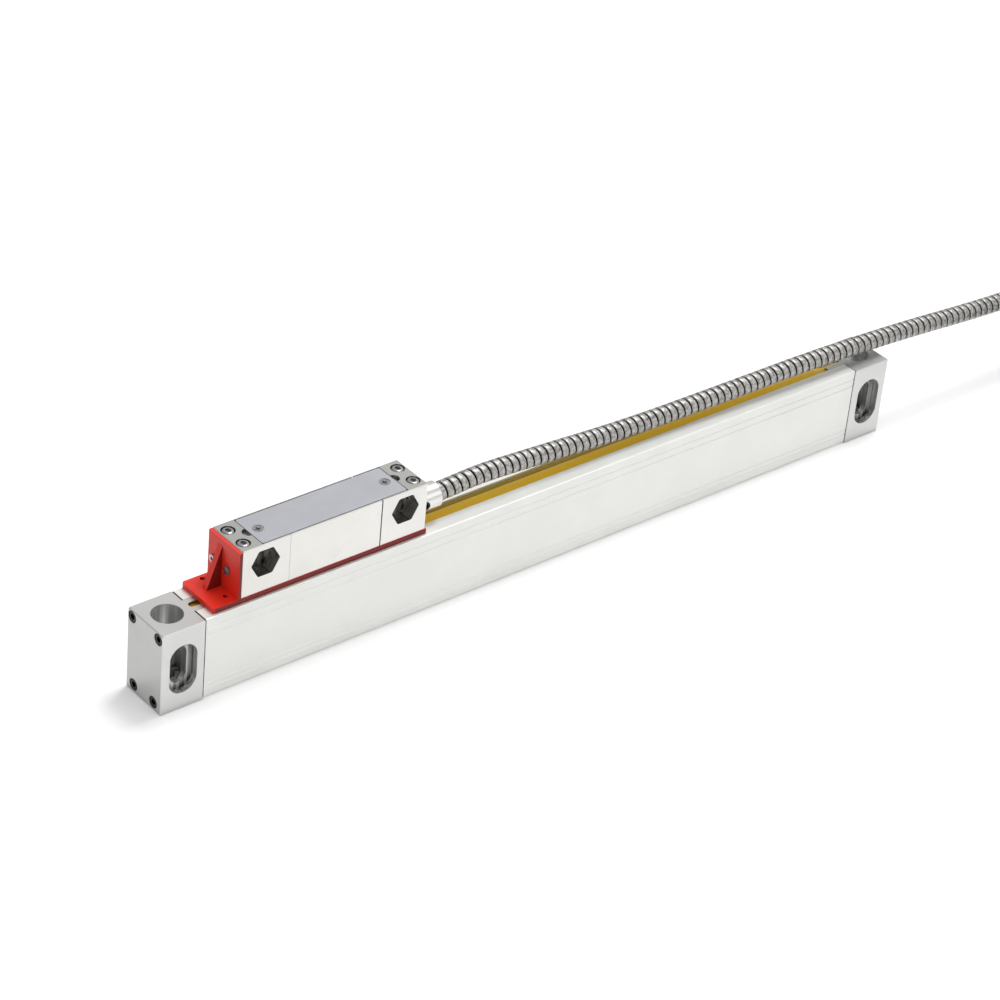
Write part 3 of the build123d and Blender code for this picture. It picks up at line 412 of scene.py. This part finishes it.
@dataclass(frozen=True)
class PowderCoatFinish:
    """Thick paint with a slight orange-peel surface."""

    name: str
    colour: Colour
    roughness: float = 0.42
    specular: float = 0.35
    coat: float = 0.08
    coat_roughness: float = 0.25
    peel_scale: float = 900.0
    peel_depth: float = 0.00001
    cloud_scale: float = 45.0
    variation: float = 0.07
    roughness_spread: float = 0.10
    painted_facing_shades: Tuple[PaintedFacingShade, ...] = ()

    def build(self) -> bpy.types.Material:
        """Makes the material.

        Returns:
            The material.
        """
        nodes = new_surface(self.name)
        nodes.shader.inputs["Specular IOR Level"].default_value = self.specular
        nodes.shader.inputs["Coat Weight"].default_value = self.coat
        nodes.shader.inputs["Coat Roughness"].default_value = self.coat_roughness
        peel = nodes.noise(self.peel_scale)
        cloud = nodes.noise(self.cloud_scale)
        nodes.tint(cloud, self.colour, around(1.0, self.variation))
        # painted light and shade on the faces that look along given axes
        for facing_shade in self.painted_facing_shades:
            nodes.paint_facing_shade(facing_shade)
        nodes.roughen(peel, around(self.roughness, self.roughness_spread))
        nodes.emboss([(peel, self.peel_depth)])
        return nodes.material


@dataclass(frozen=True)
class ElastomerFinish:
    """Rubber or soft moulded plastic."""

    name: str
    colour: Colour
    roughness: float = 0.5
    specular: float = 0.5
    grain: Grain = Grain.NONE
    grain_scale: float = 2500.0
    grain_depth: float = 0.000006
    cloud_scale: float = 90.0
    shades: Band = (0.86, 1.10)
    roughness_spread: float = 0.15

    def build(self) -> bpy.types.Material:
        """Makes the material.

        Returns:
            The material.
        """
        nodes = new_surface(self.name)
        nodes.shader.inputs["Specular IOR Level"].default_value = self.specular
        fine = nodes.noise(self.grain_scale, self.grain, 3.0)
        cloud = nodes.noise(self.cloud_scale, self.grain)
        nodes.tint(cloud, self.colour, self.shades)
        nodes.roughen(fine, around(self.roughness, self.roughness_spread))
        nodes.emboss([(fine, self.grain_depth)])
        return nodes.material


@dataclass(frozen=True)
class StripWoundFinish:
    """Rolled stainless strip, with painted shade that makes the space between turns nearly black.
    """

    name: str
    colour: Colour
    # painted shade between turns: the colour's share at the deepest point
    gap: float = 0.02
    gap_band: Band = (0.15, 0.75)
    roughness: float = 0.50
    roughness_spread: float = 0.20
    shades: Band = (0.42, 1.25)
    patch_scale: float = 1100.0
    rolled_scale: float = 5200.0
    rolled_depth: float = 0.000004

    def build(self) -> bpy.types.Material:
        """Makes the material.

        Returns:
            The material.
        """
        nodes = new_surface(self.name)
        nodes.shader.inputs["Metallic"].default_value = 1.0
        rolled = nodes.noise(self.rolled_scale, Grain.ALONG_X)
        patches = nodes.noise(self.patch_scale, Grain.NONE, 3.0)
        nodes.tint(patches, self.colour, self.shades)
        # painted shade by the depth between turns
        depth = nodes.add("ShaderNodeAttribute", attribute_name=GAP_DEPTH)
        nodes.scale_colour(nodes.span(depth.outputs["Fac"], self.gap_band, (1.0, self.gap)))
        nodes.roughen(patches, around(self.roughness, self.roughness_spread))
        nodes.emboss([(rolled, self.rolled_depth)])
        return nodes.material


@dataclass(frozen=True)
class ClearGlassFinish:
    """Clear glass with the fine lines of a grating across it."""

    name: str
    colour: Colour
    lines_per_metre: float = 2500.0
    transmission: float = 0.85
    refraction: float = 1.5
    shades: Band = (0.8, 1.0)
    roughness: Band = (0.04, 0.10)

    def build(self) -> bpy.types.Material:
        """Makes the material.

        Returns:
            The material.
        """
        nodes = new_surface(self.name)
        nodes.shader.inputs["Transmission Weight"].default_value = self.transmission
        nodes.shader.inputs["IOR"].default_value = self.refraction
        place = nodes.add("ShaderNodeTexCoord")
        wave = nodes.add("ShaderNodeTexWave", bands_direction="X")
        wave.inputs["Scale"].default_value = self.lines_per_metre
        nodes.link(place.outputs["Object"], wave.inputs["Vector"])
        nodes.tint(wave.outputs["Fac"], self.colour, self.shades)
        nodes.roughen(wave.outputs["Fac"], self.roughness)
        return nodes.material


@dataclass(frozen=True)
class Finishes:
    """Every finish of the scale, named as the record's material slots are, and a darker copy of the
    lip colour for the rear lip, as painted shade.
    """

    made: Tuple[Any, ...] = (
        MetalFinish("profile_aluminium", linear("eff0ec"), 0.40, metallic=0.40, grain=Grain.ALONG_X,
                    grain_depth=0.000002, variation=0.02, waviness=0.000001),
        # painted shade on the blocks: end faces and tops darker, bores and pockets darker, and
        # painted shadow where the conduit and the floor come close
        MetalFinish("block_aluminium", linear("d9d9d7"), 0.36, metallic=0.65,
                    recess_shade=(0.03, 1.0), contact_shadow=0.15,
                    painted_facing_shades=(PaintedFacingShade("X", -1.0, 0.76), PaintedFacingShade("X", 1.0, 0.76), PaintedFacingShade("Z", 1.0, 0.86))),
        # painted shade on the head blocks: tops darker, hex pockets and bores darker
        MetalFinish("head_aluminium", linear("dddcd8"), 0.36, recess_shade=(0.08, 0.60),
                    painted_facing_shades=(PaintedFacingShade("Z", 1.0, 0.68),)),
        MetalFinish("lid_aluminium", linear("bebfc5"), 0.40, grain=Grain.ALONG_X),
        # one lip rubber: as lit on the front lip, and a darker copy of it for the rear lip, as
        # painted shade
        ElastomerFinish("lip_rubber", linear("ffca2a"), 0.38, grain=Grain.ALONG_X),
        ElastomerFinish("rear_lip_rubber_painted_shade", linear("957a0c"), 0.50, specular=0.2,
                        grain=Grain.ALONG_X),
        ElastomerFinish("gasket_rubber", linear("1b1b1b"), 0.7),
        ElastomerFinish("buffer_rubber", linear("202020"), 0.75),
        ClearGlassFinish("scale_glass", linear("dff0ea")),
        ElastomerFinish("clamp_rubber", linear("5c5c5e"), 0.7),
        MetalFinish("black_screw", linear("2a2a2c"), 0.34),
        MetalFinish("bright_screw", linear("a8a8a9"), 0.26),
        MetalFinish("blade_steel", linear("c4c4c4"), 0.28, grain=Grain.ALONG_X),
        MetalFinish("carriage_alloy", linear("6a6a6c"), 0.5),
        MetalFinish("bearing_steel", linear("d8d8d8"), 0.16),
        ElastomerFinish("board_green", linear("1f6b3c"), 0.4),
        ElastomerFinish("chip_black", linear("1c1c1d"), 0.5),
        ElastomerFinish("flex_amber", linear("b0702a"), 0.35),
        ClearGlassFinish("lens_glass", linear("e6f2f4")),
        ElastomerFinish("lead_jacket", linear("1a1a1a"), 0.5),
        # painted light and shade on the bracket: faces towards the front darker, tops lighter
        PowderCoatFinish("bracket_red", linear("e02c1b"),
                         painted_facing_shades=(PaintedFacingShade("Y", -1.0, 0.24), PaintedFacingShade("Z", 1.0, 1.18))),
        MetalFinish("gland_steel", linear("dcdad8"), 0.28),
        StripWoundFinish("conduit_steel", linear("bbb9b6")),
        MetalFinish("hood_zinc", linear("c3c3c2"), 0.45),
        MetalFinish("shell_tin", linear("d9d8d4"), 0.3),
        ElastomerFinish("insert_plastic", linear("202428"), 0.45),
        MetalFinish("pin_gold", linear("e3b95a"), 0.2),
    )

    def build_all(self) -> Dict[str, bpy.types.Material]:
        """Makes every material.

        Returns:
            Materials by slot.
        """
        return {finish.name: finish.build() for finish in self.made}


def mesh_object(name: str, corners: Sequence[Point], faces: Sequence[Sequence[int]],
                material: bpy.types.Material, smooth: bool = True) -> bpy.types.Object:
    """Makes an object from corners and faces.

    Args:
        name: the piece's name.
        corners: places in metres, in the row frame.
        faces: indices of each face's corners.
        material: its finish.
        smooth: whether its faces are shaded smooth.

    Returns:
        The linked object.
    """
    mesh = bpy.data.meshes.new(name)
    mesh.from_pydata([tuple(c) for c in corners], [], [tuple(f) for f in faces])
    mesh.validate()
    mesh.update()
    for polygon in mesh.polygons:
        polygon.use_smooth = smooth
    mesh.materials.append(material)
    piece = bpy.data.objects.new(name, mesh)
    bpy.context.scene.collection.objects.link(piece)
    return piece


# Studio


@dataclass
class PhotoCamera:
    """Camera at the photograph's viewing angle."""

    place: Point = (-0.664820, -0.711947, 0.662985)
    azimuth: float = -42.3405
    elevation: float = 33.4531
    roll: float = 5.7808
    lens: float = 118.928
    sensor: float = 36.0
    clip: Band = (0.05, 50.0)

    def build(self) -> bpy.types.Object:
        """Places the camera and makes it the scene's own.

        Returns:
            The camera.
        """
        data = bpy.data.cameras.new("photo_camera")
        data.lens = self.lens
        data.sensor_width = self.sensor
        data.clip_start, data.clip_end = self.clip
        camera = bpy.data.objects.new("photo_camera", data)
        turn = (
            Matrix.Rotation(math.radians(self.azimuth), 4, "Z")
            @ Matrix.Rotation(math.radians(90.0 - self.elevation), 4, "X")
            @ Matrix.Rotation(math.radians(self.roll), 4, "Z")
        )
        camera.matrix_world = Matrix.Translation(self.place) @ turn
        bpy.context.scene.collection.objects.link(camera)
        bpy.context.scene.camera = camera
        return camera


@dataclass(frozen=True)
class SoftBox:
    """Square area lamp that looks at a point."""

    name: str
    place: Point
    target: Point
    size: float
    power: float

    def build(self) -> bpy.types.Object:
        """Places the lamp.

        Returns:
            The lamp.
        """
        data = bpy.data.lights.new(self.name, "AREA")
        data.shape = "SQUARE"
        data.size = self.size
        data.energy = self.power
        lamp = bpy.data.objects.new(self.name, data)
        turn = (Vector(self.target) - Vector(self.place)).to_track_quat("-Z", "Y")
        lamp.matrix_world = Matrix.Translation(self.place) @ turn.to_matrix().to_4x4()
        bpy.context.scene.collection.objects.link(lamp)
        return lamp


@dataclass
class Studio:
    """Pale floor, soft lamps and a plain world."""

    floor_size: float = 8.0
    floor_colour: Colour = (0.72, 0.72, 0.72)
    floor_seen: Colour = (0.93, 0.93, 0.93)
    floor_lift: float = 0.19
    world_colour: Colour = (1.0, 1.0, 1.0)
    world_strength: float = 0.60
    world_seen: Band = (0.22, 0.88)    # strength seen towards -X and towards +X
    lamps: List[SoftBox] = field(default_factory=lambda: [
        SoftBox("top_box", (0.56, 0.16, 1.6), (0.0, 0.0, 0.0), 0.6, 15.0),
        SoftBox("front_box", (0.7, -1.5, 1.0), (0.0, 0.0, 0.0), 1.0, 3.0),
    ])

    def white_rays(self, nodes: bpy.types.NodeTree) -> bpy.types.NodeSocket:
        """Finds out which rays see the studio pale.

        Args:
            nodes: the node tree that asks.

        Returns:
            A socket that is 1 for camera, glossy and transmission rays.
        """
        path = nodes.nodes.new("ShaderNodeLightPath")
        total = path.outputs[Ray.CAMERA.value]
        for ray in (Ray.GLOSSY, Ray.TRANSMISSION):
            both = nodes.nodes.new("ShaderNodeMath")
            both.operation = "MAXIMUM"
            nodes.links.new(total, both.inputs[0])
            nodes.links.new(path.outputs[ray.value], both.inputs[1])
            total = both.outputs[0]
        return total

    def build_world(self) -> None:
        """Plain world: pale where it is seen, darker towards -X, and even as light."""
        world = bpy.data.worlds.new("studio_world")
        world.use_nodes = True
        tree = world.node_tree
        tree.nodes.clear()
        seen = tree.nodes.new("ShaderNodeBackground")
        light = tree.nodes.new("ShaderNodeBackground")
        for node in (seen, light):
            node.inputs["Color"].default_value = (*self.world_colour, 1.0)
        light.inputs["Strength"].default_value = self.world_strength
        direction = tree.nodes.new("ShaderNodeTexCoord")
        parts = tree.nodes.new("ShaderNodeSeparateXYZ")
        side = tree.nodes.new("ShaderNodeMapRange")
        for end, x, strength in zip(("Min", "Max"), (-1.0, 1.0), self.world_seen):
            side.inputs[f"From {end}"].default_value = x
            side.inputs[f"To {end}"].default_value = strength
        tree.links.new(direction.outputs["Generated"], parts.inputs["Vector"])
        tree.links.new(parts.outputs["X"], side.inputs["Value"])
        tree.links.new(side.outputs["Result"], seen.inputs["Strength"])
        mix = tree.nodes.new("ShaderNodeMixShader")
        output = tree.nodes.new("ShaderNodeOutputWorld")
        tree.links.new(self.white_rays(tree), mix.inputs["Fac"])
        tree.links.new(light.outputs[0], mix.inputs[1])
        tree.links.new(seen.outputs[0], mix.inputs[2])
        tree.links.new(mix.outputs[0], output.inputs["Surface"])
        bpy.context.scene.world = world

    def floor_material(self) -> bpy.types.Material:
        """Pale floor, nearly white where it is seen, that keeps the object's shadow.

        Returns:
            The floor's material.
        """
        material = bpy.data.materials.new("studio_floor")
        material.use_nodes = True
        tree = material.node_tree
        tree.nodes.clear()
        diffuse = tree.nodes.new("ShaderNodeBsdfDiffuse")
        diffuse.inputs["Color"].default_value = (*self.floor_colour, 1.0)
        white = tree.nodes.new("ShaderNodeBsdfDiffuse")
        white.inputs["Color"].default_value = (*self.floor_seen, 1.0)
        lift = tree.nodes.new("ShaderNodeEmission")
        lift.inputs["Strength"].default_value = self.floor_lift
        raised = tree.nodes.new("ShaderNodeAddShader")
        mix = tree.nodes.new("ShaderNodeMixShader")
        output = tree.nodes.new("ShaderNodeOutputMaterial")
        tree.links.new(white.outputs[0], raised.inputs[0])
        tree.links.new(lift.outputs[0], raised.inputs[1])
        tree.links.new(self.white_rays(tree), mix.inputs["Fac"])
        tree.links.new(diffuse.outputs[0], mix.inputs[1])
        tree.links.new(raised.outputs[0], mix.inputs[2])
        tree.links.new(mix.outputs[0], output.inputs["Surface"])
        return material

    def build(self) -> None:
        """Makes the floor, the world and the lamps."""
        half = self.floor_size / 2
        corners = [(-half, -half, 0), (half, -half, 0), (half, half, 0), (-half, half, 0)]
        floor = mesh_object("studio_floor", corners, [(0, 1, 2, 3)], self.floor_material(), False)
        self.build_world()
        for lamp in self.lamps:
            lamp.build()
        bpy.context.scene.view_settings.view_transform = "Standard"


# Armoured lead


class CordLine:
    """Centreline read from a smooth curve, with a frame at any distance along it."""

    def __init__(self, points: Sequence[Vector]) -> None:
        """Measures the line and carries a frame along it.

        Args:
            points: points of the line, close together.
        """
        self.points = [Vector(p) for p in points]
        self.lengths = [0.0]
        for before, after in zip(self.points, self.points[1:]):
            self.lengths.append(self.lengths[-1] + (after - before).length)
        self.sides = self._carried_sides()

    def _tangent(self, index: int) -> Vector:
        """Direction of the line at one of its points.

        Args:
            index: the point's number.

        Returns:
            The direction, of length 1.
        """
        low = max(index - 1, 0)
        high = min(index + 1, len(self.points) - 1)
        return (self.points[high] - self.points[low]).normalized()

    def _carried_sides(self) -> List[Vector]:
        """Carries a sideways direction along the line without twist.

        Returns:
            The sideways direction at each point.
        """
        side = self._tangent(0).cross(Vector((0, 0, 1))).normalized()
        sides = []
        for index in range(len(self.points)):
            tangent = self._tangent(index)
            side = (side - tangent * side.dot(tangent)).normalized()
            sides.append(side)
        return sides

    @property
    def length(self) -> float:
        """Length of the line in metres."""
        return self.lengths[-1]

    def place(self, distance: float) -> Tuple[Vector, Vector, Vector]:
        """Point and cross directions at a distance from the start.

        Args:
            distance: metres along the line.

        Returns:
            The point, and two directions across the line.
        """
        index = min(max(bisect.bisect_right(self.lengths, distance) - 1, 0), len(self.points) - 2)
        span = self.lengths[index + 1] - self.lengths[index]
        share = held((distance - self.lengths[index]) / span)
        point = self.points[index].lerp(self.points[index + 1], share)
        side = self.sides[index].lerp(self.sides[index + 1], share).normalized()
        tangent = self._tangent(index).lerp(self._tangent(index + 1), share).normalized()
        return point, side, tangent.cross(side).normalized()


@dataclass
class ArmouredLead:
    """Strip-wound steel conduit: over the scale, down to a coil, and a tail to the plug."""

    diameter: float = 0.0070
    pitch: float = 0.0032
    steps: int = 18
    length: float = 3.0
    exit: Point = (-0.04575, 0.0002, 0.0400)
    run: Tuple[Point, ...] = (
        (-0.05615, 0.0002, 0.0400),
        (-0.0420, 0.0002, 0.0403),
        (-0.0270, 0.0001, 0.0414),
        (-0.0030, -0.0002, 0.0402),
        (0.0400, -0.0007, 0.03775),
        (0.0840, -0.0015, 0.03795),
        (0.1340, -0.0026, 0.03875),
        (0.1790, -0.0030, 0.0369),
        (0.2180, -0.0031, 0.0338),
        (0.2500, -0.0032, 0.0325),
        (0.2770, -0.0031, 0.0319),
        (0.3000, -0.0030, 0.03195),
    )
    tail: Tuple[Point, ...] = (
        (0.2856, -0.0847, 0.0036),
        (0.2780, -0.0819, 0.0040),
        (0.2705, -0.0795, 0.0048),
        (0.2630, -0.0777, 0.0059),
        (0.2555, -0.0763, 0.0070),
        (0.2480, -0.0754, 0.0078),
        (0.2360, -0.0754, 0.0078),
    )
    coil_centre: Tuple[float, float] = (0.3000, -0.0451)
    inner_radius: float = 0.0279
    layer: float = 0.0071
    floor_gap: float = 0.00005
    first_column: float = 2.0
    turns: float = 11.5556
    points_per_turn: int = 24
    crossing: float = 0.14
    inward: Tuple[float, ...] = (1.66, 2.66, 7.10, 8.10)        # turns at which crossings start
    outward: Tuple[float, ...] = (4.38, 5.38, 9.82, 10.82)
    downward: Tuple[float, ...] = (0.80, 3.52, 6.24, 8.96)
    strip_profile: Tuple[Band, ...] = (                         # share of a pitch, groove depth
        (0.00, 0.00075), (0.135, 0.00075), (0.15, 0.00060), (0.165, 0.00012), (0.21, 0.00003),
        (0.50, 0.00000), (0.88, 0.00004), (0.935, 0.00014), (0.95, 0.00060),
    )
    plug_nodes: Tuple[str, ...] = (
        "plug_hood", "plug_cover_screws", "plug_shell", "plug_insert", "plug_pins",
        "left_thumb_screw", "right_thumb_screw",
    )

    def crossed(self, turn: float, starts: Sequence[float]) -> float:
        """How many crossings are done at a turn, with a share of the one that is under way."""
        return sum(eased((turn - start) / self.crossing) for start in starts)

    def coil_points(self) -> List[Point]:
        """Control points of the coil: one turn on top, then three turns to each layer below it.

        The curve runs inside its control points, by a share that depends on the angle between
        them, so they lie that much further out.

        Returns:
            The points between the run's end and the tail's start.
        """
        points = []
        total = round(self.turns * self.points_per_turn)
        outset = 1 / (0.75 + 0.25 * math.cos(2 * math.pi / self.points_per_turn))
        for step in range(1, total):
            turn = step / self.points_per_turn
            column = self.first_column - self.crossed(turn, self.inward)
            column += self.crossed(turn, self.outward)
            row = len(self.downward) - self.crossed(turn, self.downward)
            radius = (self.inner_radius + self.layer * column) * outset
            level = self.diameter / 2 + self.floor_gap + self.layer * row
            angle = math.pi / 2 - 2 * math.pi * turn
            points.append((
                self.coil_centre[0] + radius * math.cos(angle),
                self.coil_centre[1] + radius * math.sin(angle),
                level,
            ))
        return points

    def centreline(self) -> CordLine:
        """Leads a smooth line through the run, the coil and the tail.

        Returns:
            The line.
        """
        control = list(self.run) + self.coil_points() + list(self.tail)
        data = bpy.data.curves.new("lead_line", "CURVE")
        data.dimensions = "3D"
        spline = data.splines.new("NURBS")
        spline.points.add(len(control) - 1)
        for point, place in zip(spline.points, control):
            point.co = (*place, 1.0)
        spline.order_u = 3
        spline.use_endpoint_u = True
        spline.resolution_u = 8
        holder = bpy.data.objects.new("lead_line", data)
        bpy.context.scene.collection.objects.link(holder)
        bpy.context.view_layer.update()
        sampled = bpy.data.meshes.new_from_object(holder)
        line = CordLine([v.co.copy() for v in sampled.vertices])
        bpy.data.objects.remove(holder)
        bpy.data.curves.remove(data)
        bpy.data.meshes.remove(sampled)
        return line

    def strip_mesh(self, line: CordLine) -> Tuple[List[Point], List[Tuple[int, ...]], List[float]]:
        """Helical strip around the line, turn against turn.

        Args:
            line: the lead's centreline.

        Returns:
            Corners and faces of a closed tube, and each corner's depth in the gap, from 0 to 1.
        """
        rows = len(self.strip_profile)
        turns = int(line.length / self.pitch) - 1
        last = turns * self.steps
        stretch = line.length / ((turns + 1) * self.pitch)
        deepest = max(groove for _, groove in self.strip_profile)
        corners: List[Point] = []
        depths: List[float] = []
        for i in range(last + self.steps + 1):
            angle = 2 * math.pi * i / self.steps
            shown = rows if i <= last else 1
            for along, groove in self.strip_profile[:shown]:
                distance = self.pitch * stretch * (i / self.steps + along)
                point, side, up = line.place(distance)
                reach = self.diameter / 2 - groove
                across = side * (reach * math.cos(angle))
                corners.append(tuple(point + across + up * (reach * math.sin(angle))))
                depths.append(groove / deepest)

        def index(i: int, j: int) -> int:
            """Number of a corner, where the last row is the next turn's first.

            Args:
                i: step along the helix.
                j: row across the strip.

            Returns:
                The corner's number.
            """
            if j == rows:
                return index(i + self.steps, 0)
            return i * rows + j if i <= last else (last + 1) * rows + (i - last - 1)

        faces: List[Tuple[int, ...]] = []
        for i in range(last):
            for j in range(rows):
                faces.append((index(i, j), index(i, j + 1), index(i + 1, j + 1), index(i + 1, j)))
        for start, distance, flip in ((0, 0.0, False), (last, line.length, True)):
            rim = [index(start + i, 0) for i in range(self.steps)]
            rim += [index(start, j) for j in range(rows, 0, -1)]
            centre = len(corners)
            corners.append(tuple(line.place(distance)[0]))
            depths.append(1.0)
            for a, b in zip(rim, rim[1:] + rim[:1]):
                faces.append((b, a, centre) if flip else (a, b, centre))
        return corners, faces, depths

    def build(self, nodes: Dict[str, bpy.types.Object],
              finishes: Dict[str, bpy.types.Material]) -> bpy.types.Object:
        """Args:
            nodes: the frame's nodes by name.
            finishes: materials by slot.

        Returns:
            The lead.
        """
        line = self.centreline()
        corners, faces, depths = self.strip_mesh(line)
        lead = mesh_object("armoured_lead", corners, faces, finishes["conduit_steel"])
        # each corner's depth between turns, which the finish turns into painted shade
        lead.data.attributes.new(GAP_DEPTH, "FLOAT", "POINT").data.foreach_set("value", depths)
        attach(lead, BODY_OF_HEAD)
        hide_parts("conduit_run", "conduit_coil", "conduit_tail")
        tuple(self.exit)
        self.length
        [tuple(p) for p in line.points]
        [nodes[name] for name in self.plug_nodes]
        log.info("armoured_lead: %.3f m along its centreline", line.length)
        return lead


# Scale unit


@dataclass
class SealLips:
    """The two lips that close the slot, touching a little behind its middle."""

    wall: float = 3.62 * MM
    root: float = 5.22 * MM
    root_low: float = 28.93 * MM
    root_high: float = 30.27 * MM
    base: float = 30.42 * MM
    ridge: float = 31.0 * MM
    base_lift: float = 0.65 * MM
    ridge_lift: float = 0.95 * MM
    lean: float = 0.60 * MM
    covered: float = 8.4 * MM
    easing: float = 6.0 * MM
    edge: float = 0.45 * MM
    foot: Band = (1.1 * MM, 0.6 * MM)
    crown: float = 0.18 * MM
    crown_shape: float = 1.6
    crown_over: float = 0.02 * MM
    crown_steps: int = 8
    end_gap: float = 0.15 * MM
    lap: float = 0.015 * MM
    stations: int = 110

    def swell(self, from_end: float) -> float:
        """0 under the blocks' tongues, 1 where the lips stand up freely, and smooth between."""
        return eased((from_end - self.covered) / self.easing)

    def section(self, side: int, swell: float) -> List[Band]:
        """Section of a lip as (y, z), from the ridge down the outside and back.

        Args:
            side: 1 for the front lip and -1 for the rear one.
            swell: how far the lips stand up, from 0 to 1.

        Returns:
            The section's corners, drawn as for the front lip.
        """
        ridge = self.ridge + self.ridge_lift * swell
        base = self.base + self.base_lift * swell
        free = side * self.lean * swell + self.lap
        upper = []
        for step in range(self.crown_steps + 1):
            share = step / self.crown_steps
            y = free - share * (self.wall + free)
            crown = self.crown * math.sin(math.pi * (1 - share) ** self.crown_shape)
            z = base + (ridge - base) * (1 - share) + crown
            upper.append((y, min(z, ridge + self.crown_over)))
        return upper + [
            (-self.wall, self.root_high), (-self.root, self.root_high),
            (-self.root, self.root_low), (-self.wall, self.root_low),
            (-self.wall + self.foot[0], self.root_low + self.foot[1]), (free, ridge - self.edge),
        ]

    def lip(self, name: str, side: int, node: str,
            material: bpy.types.Material) -> bpy.types.Object:
        """One lip.

        Args:
            name: the piece's name.
            side: 1 for the front lip and -1 for the rear one.
            node: the solid that it stands for.
            material: its finish.

        Returns:
            The piece.
        """
        count = len(self.section(side, 0.0))
        low_x, high_x = [corner[0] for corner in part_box("scale_housing")]
        step = (high_x - low_x - 2 * self.end_gap) / self.stations
        corners = []
        for station in range(self.stations + 1):
            x = low_x + self.end_gap + station * step
            swell = self.swell(min(x - low_x, high_x - x))
            corners += [(x, side * y, z) for y, z in self.section(side, swell)]
        faces: List[Tuple[int, ...]] = []
        for station in range(self.stations):
            for k in range(count):
                low = station * count
                high = low + count
                quad = (low + k, low + (k + 1) % count, high + (k + 1) % count, high + k)
                faces.append(quad if side > 0 else quad[::-1])
        start = tuple(range(count))
        end = tuple(self.stations * count + k for k in range(count))
        faces.append(start[::-1] if side > 0 else start)
        faces.append(end if side > 0 else end[::-1])
        piece = mesh_object(name, corners, faces, material, False)
        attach(piece, BODY_OF_SCALE)
        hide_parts(node)
        log.info("%s: %d stations", name, self.stations)
        return piece

    def build(self, finishes: Dict[str, bpy.types.Material]) -> None:
        """Makes both lips.

        Args:
            finishes: materials by slot.
        """
        # the rear lip takes a darker copy of the lip colour, as painted shade
        self.lip("front_lip", 1, "front_seal_lip", finishes["lip_rubber"])
        self.lip("rear_lip", -1, "rear_seal_lip", finishes["rear_lip_rubber_painted_shade"])


@dataclass
class CarriedNodes:
    """The solids that keep their shape and get their finish here."""

    hidden: Tuple[str, ...] = (
        "conduit_run", "conduit_coil", "conduit_tail", "front_seal_lip", "rear_seal_lip",
    )

    def build(self, frame: Dict[str, Any], finishes: Dict[str, bpy.types.Material]) -> None:
        """Gives every solid the material of its slot.

        Args:
            frame: the loaded frame.
            finishes: materials by slot.
        """
        slots = {s["node"]: s["material_slot"] for s in frame["record"]["subparts"]}
        for name, node in frame["nodes"].items():
            if name in self.hidden:
                continue
            for slot in node.material_slots:
                slot.material = finishes[slots[name]]
            log.info("%s: %s", name, slots[name])


def main() -> None:
    """Builds the camera, the finishes, the lead, the lips, the finishes of the other solids and the
    studio, in that order.
    """
    logging.basicConfig(level=logging.INFO, format="%(message)s")
    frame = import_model()
    PhotoCamera().build()
    finishes = Finishes().build_all()
    ArmouredLead().build(frame["nodes"], finishes)
    SealLips().build(finishes)
    CarriedNodes().build(frame, finishes)
    Studio().build()


if __name__ == "__main__":
    main()
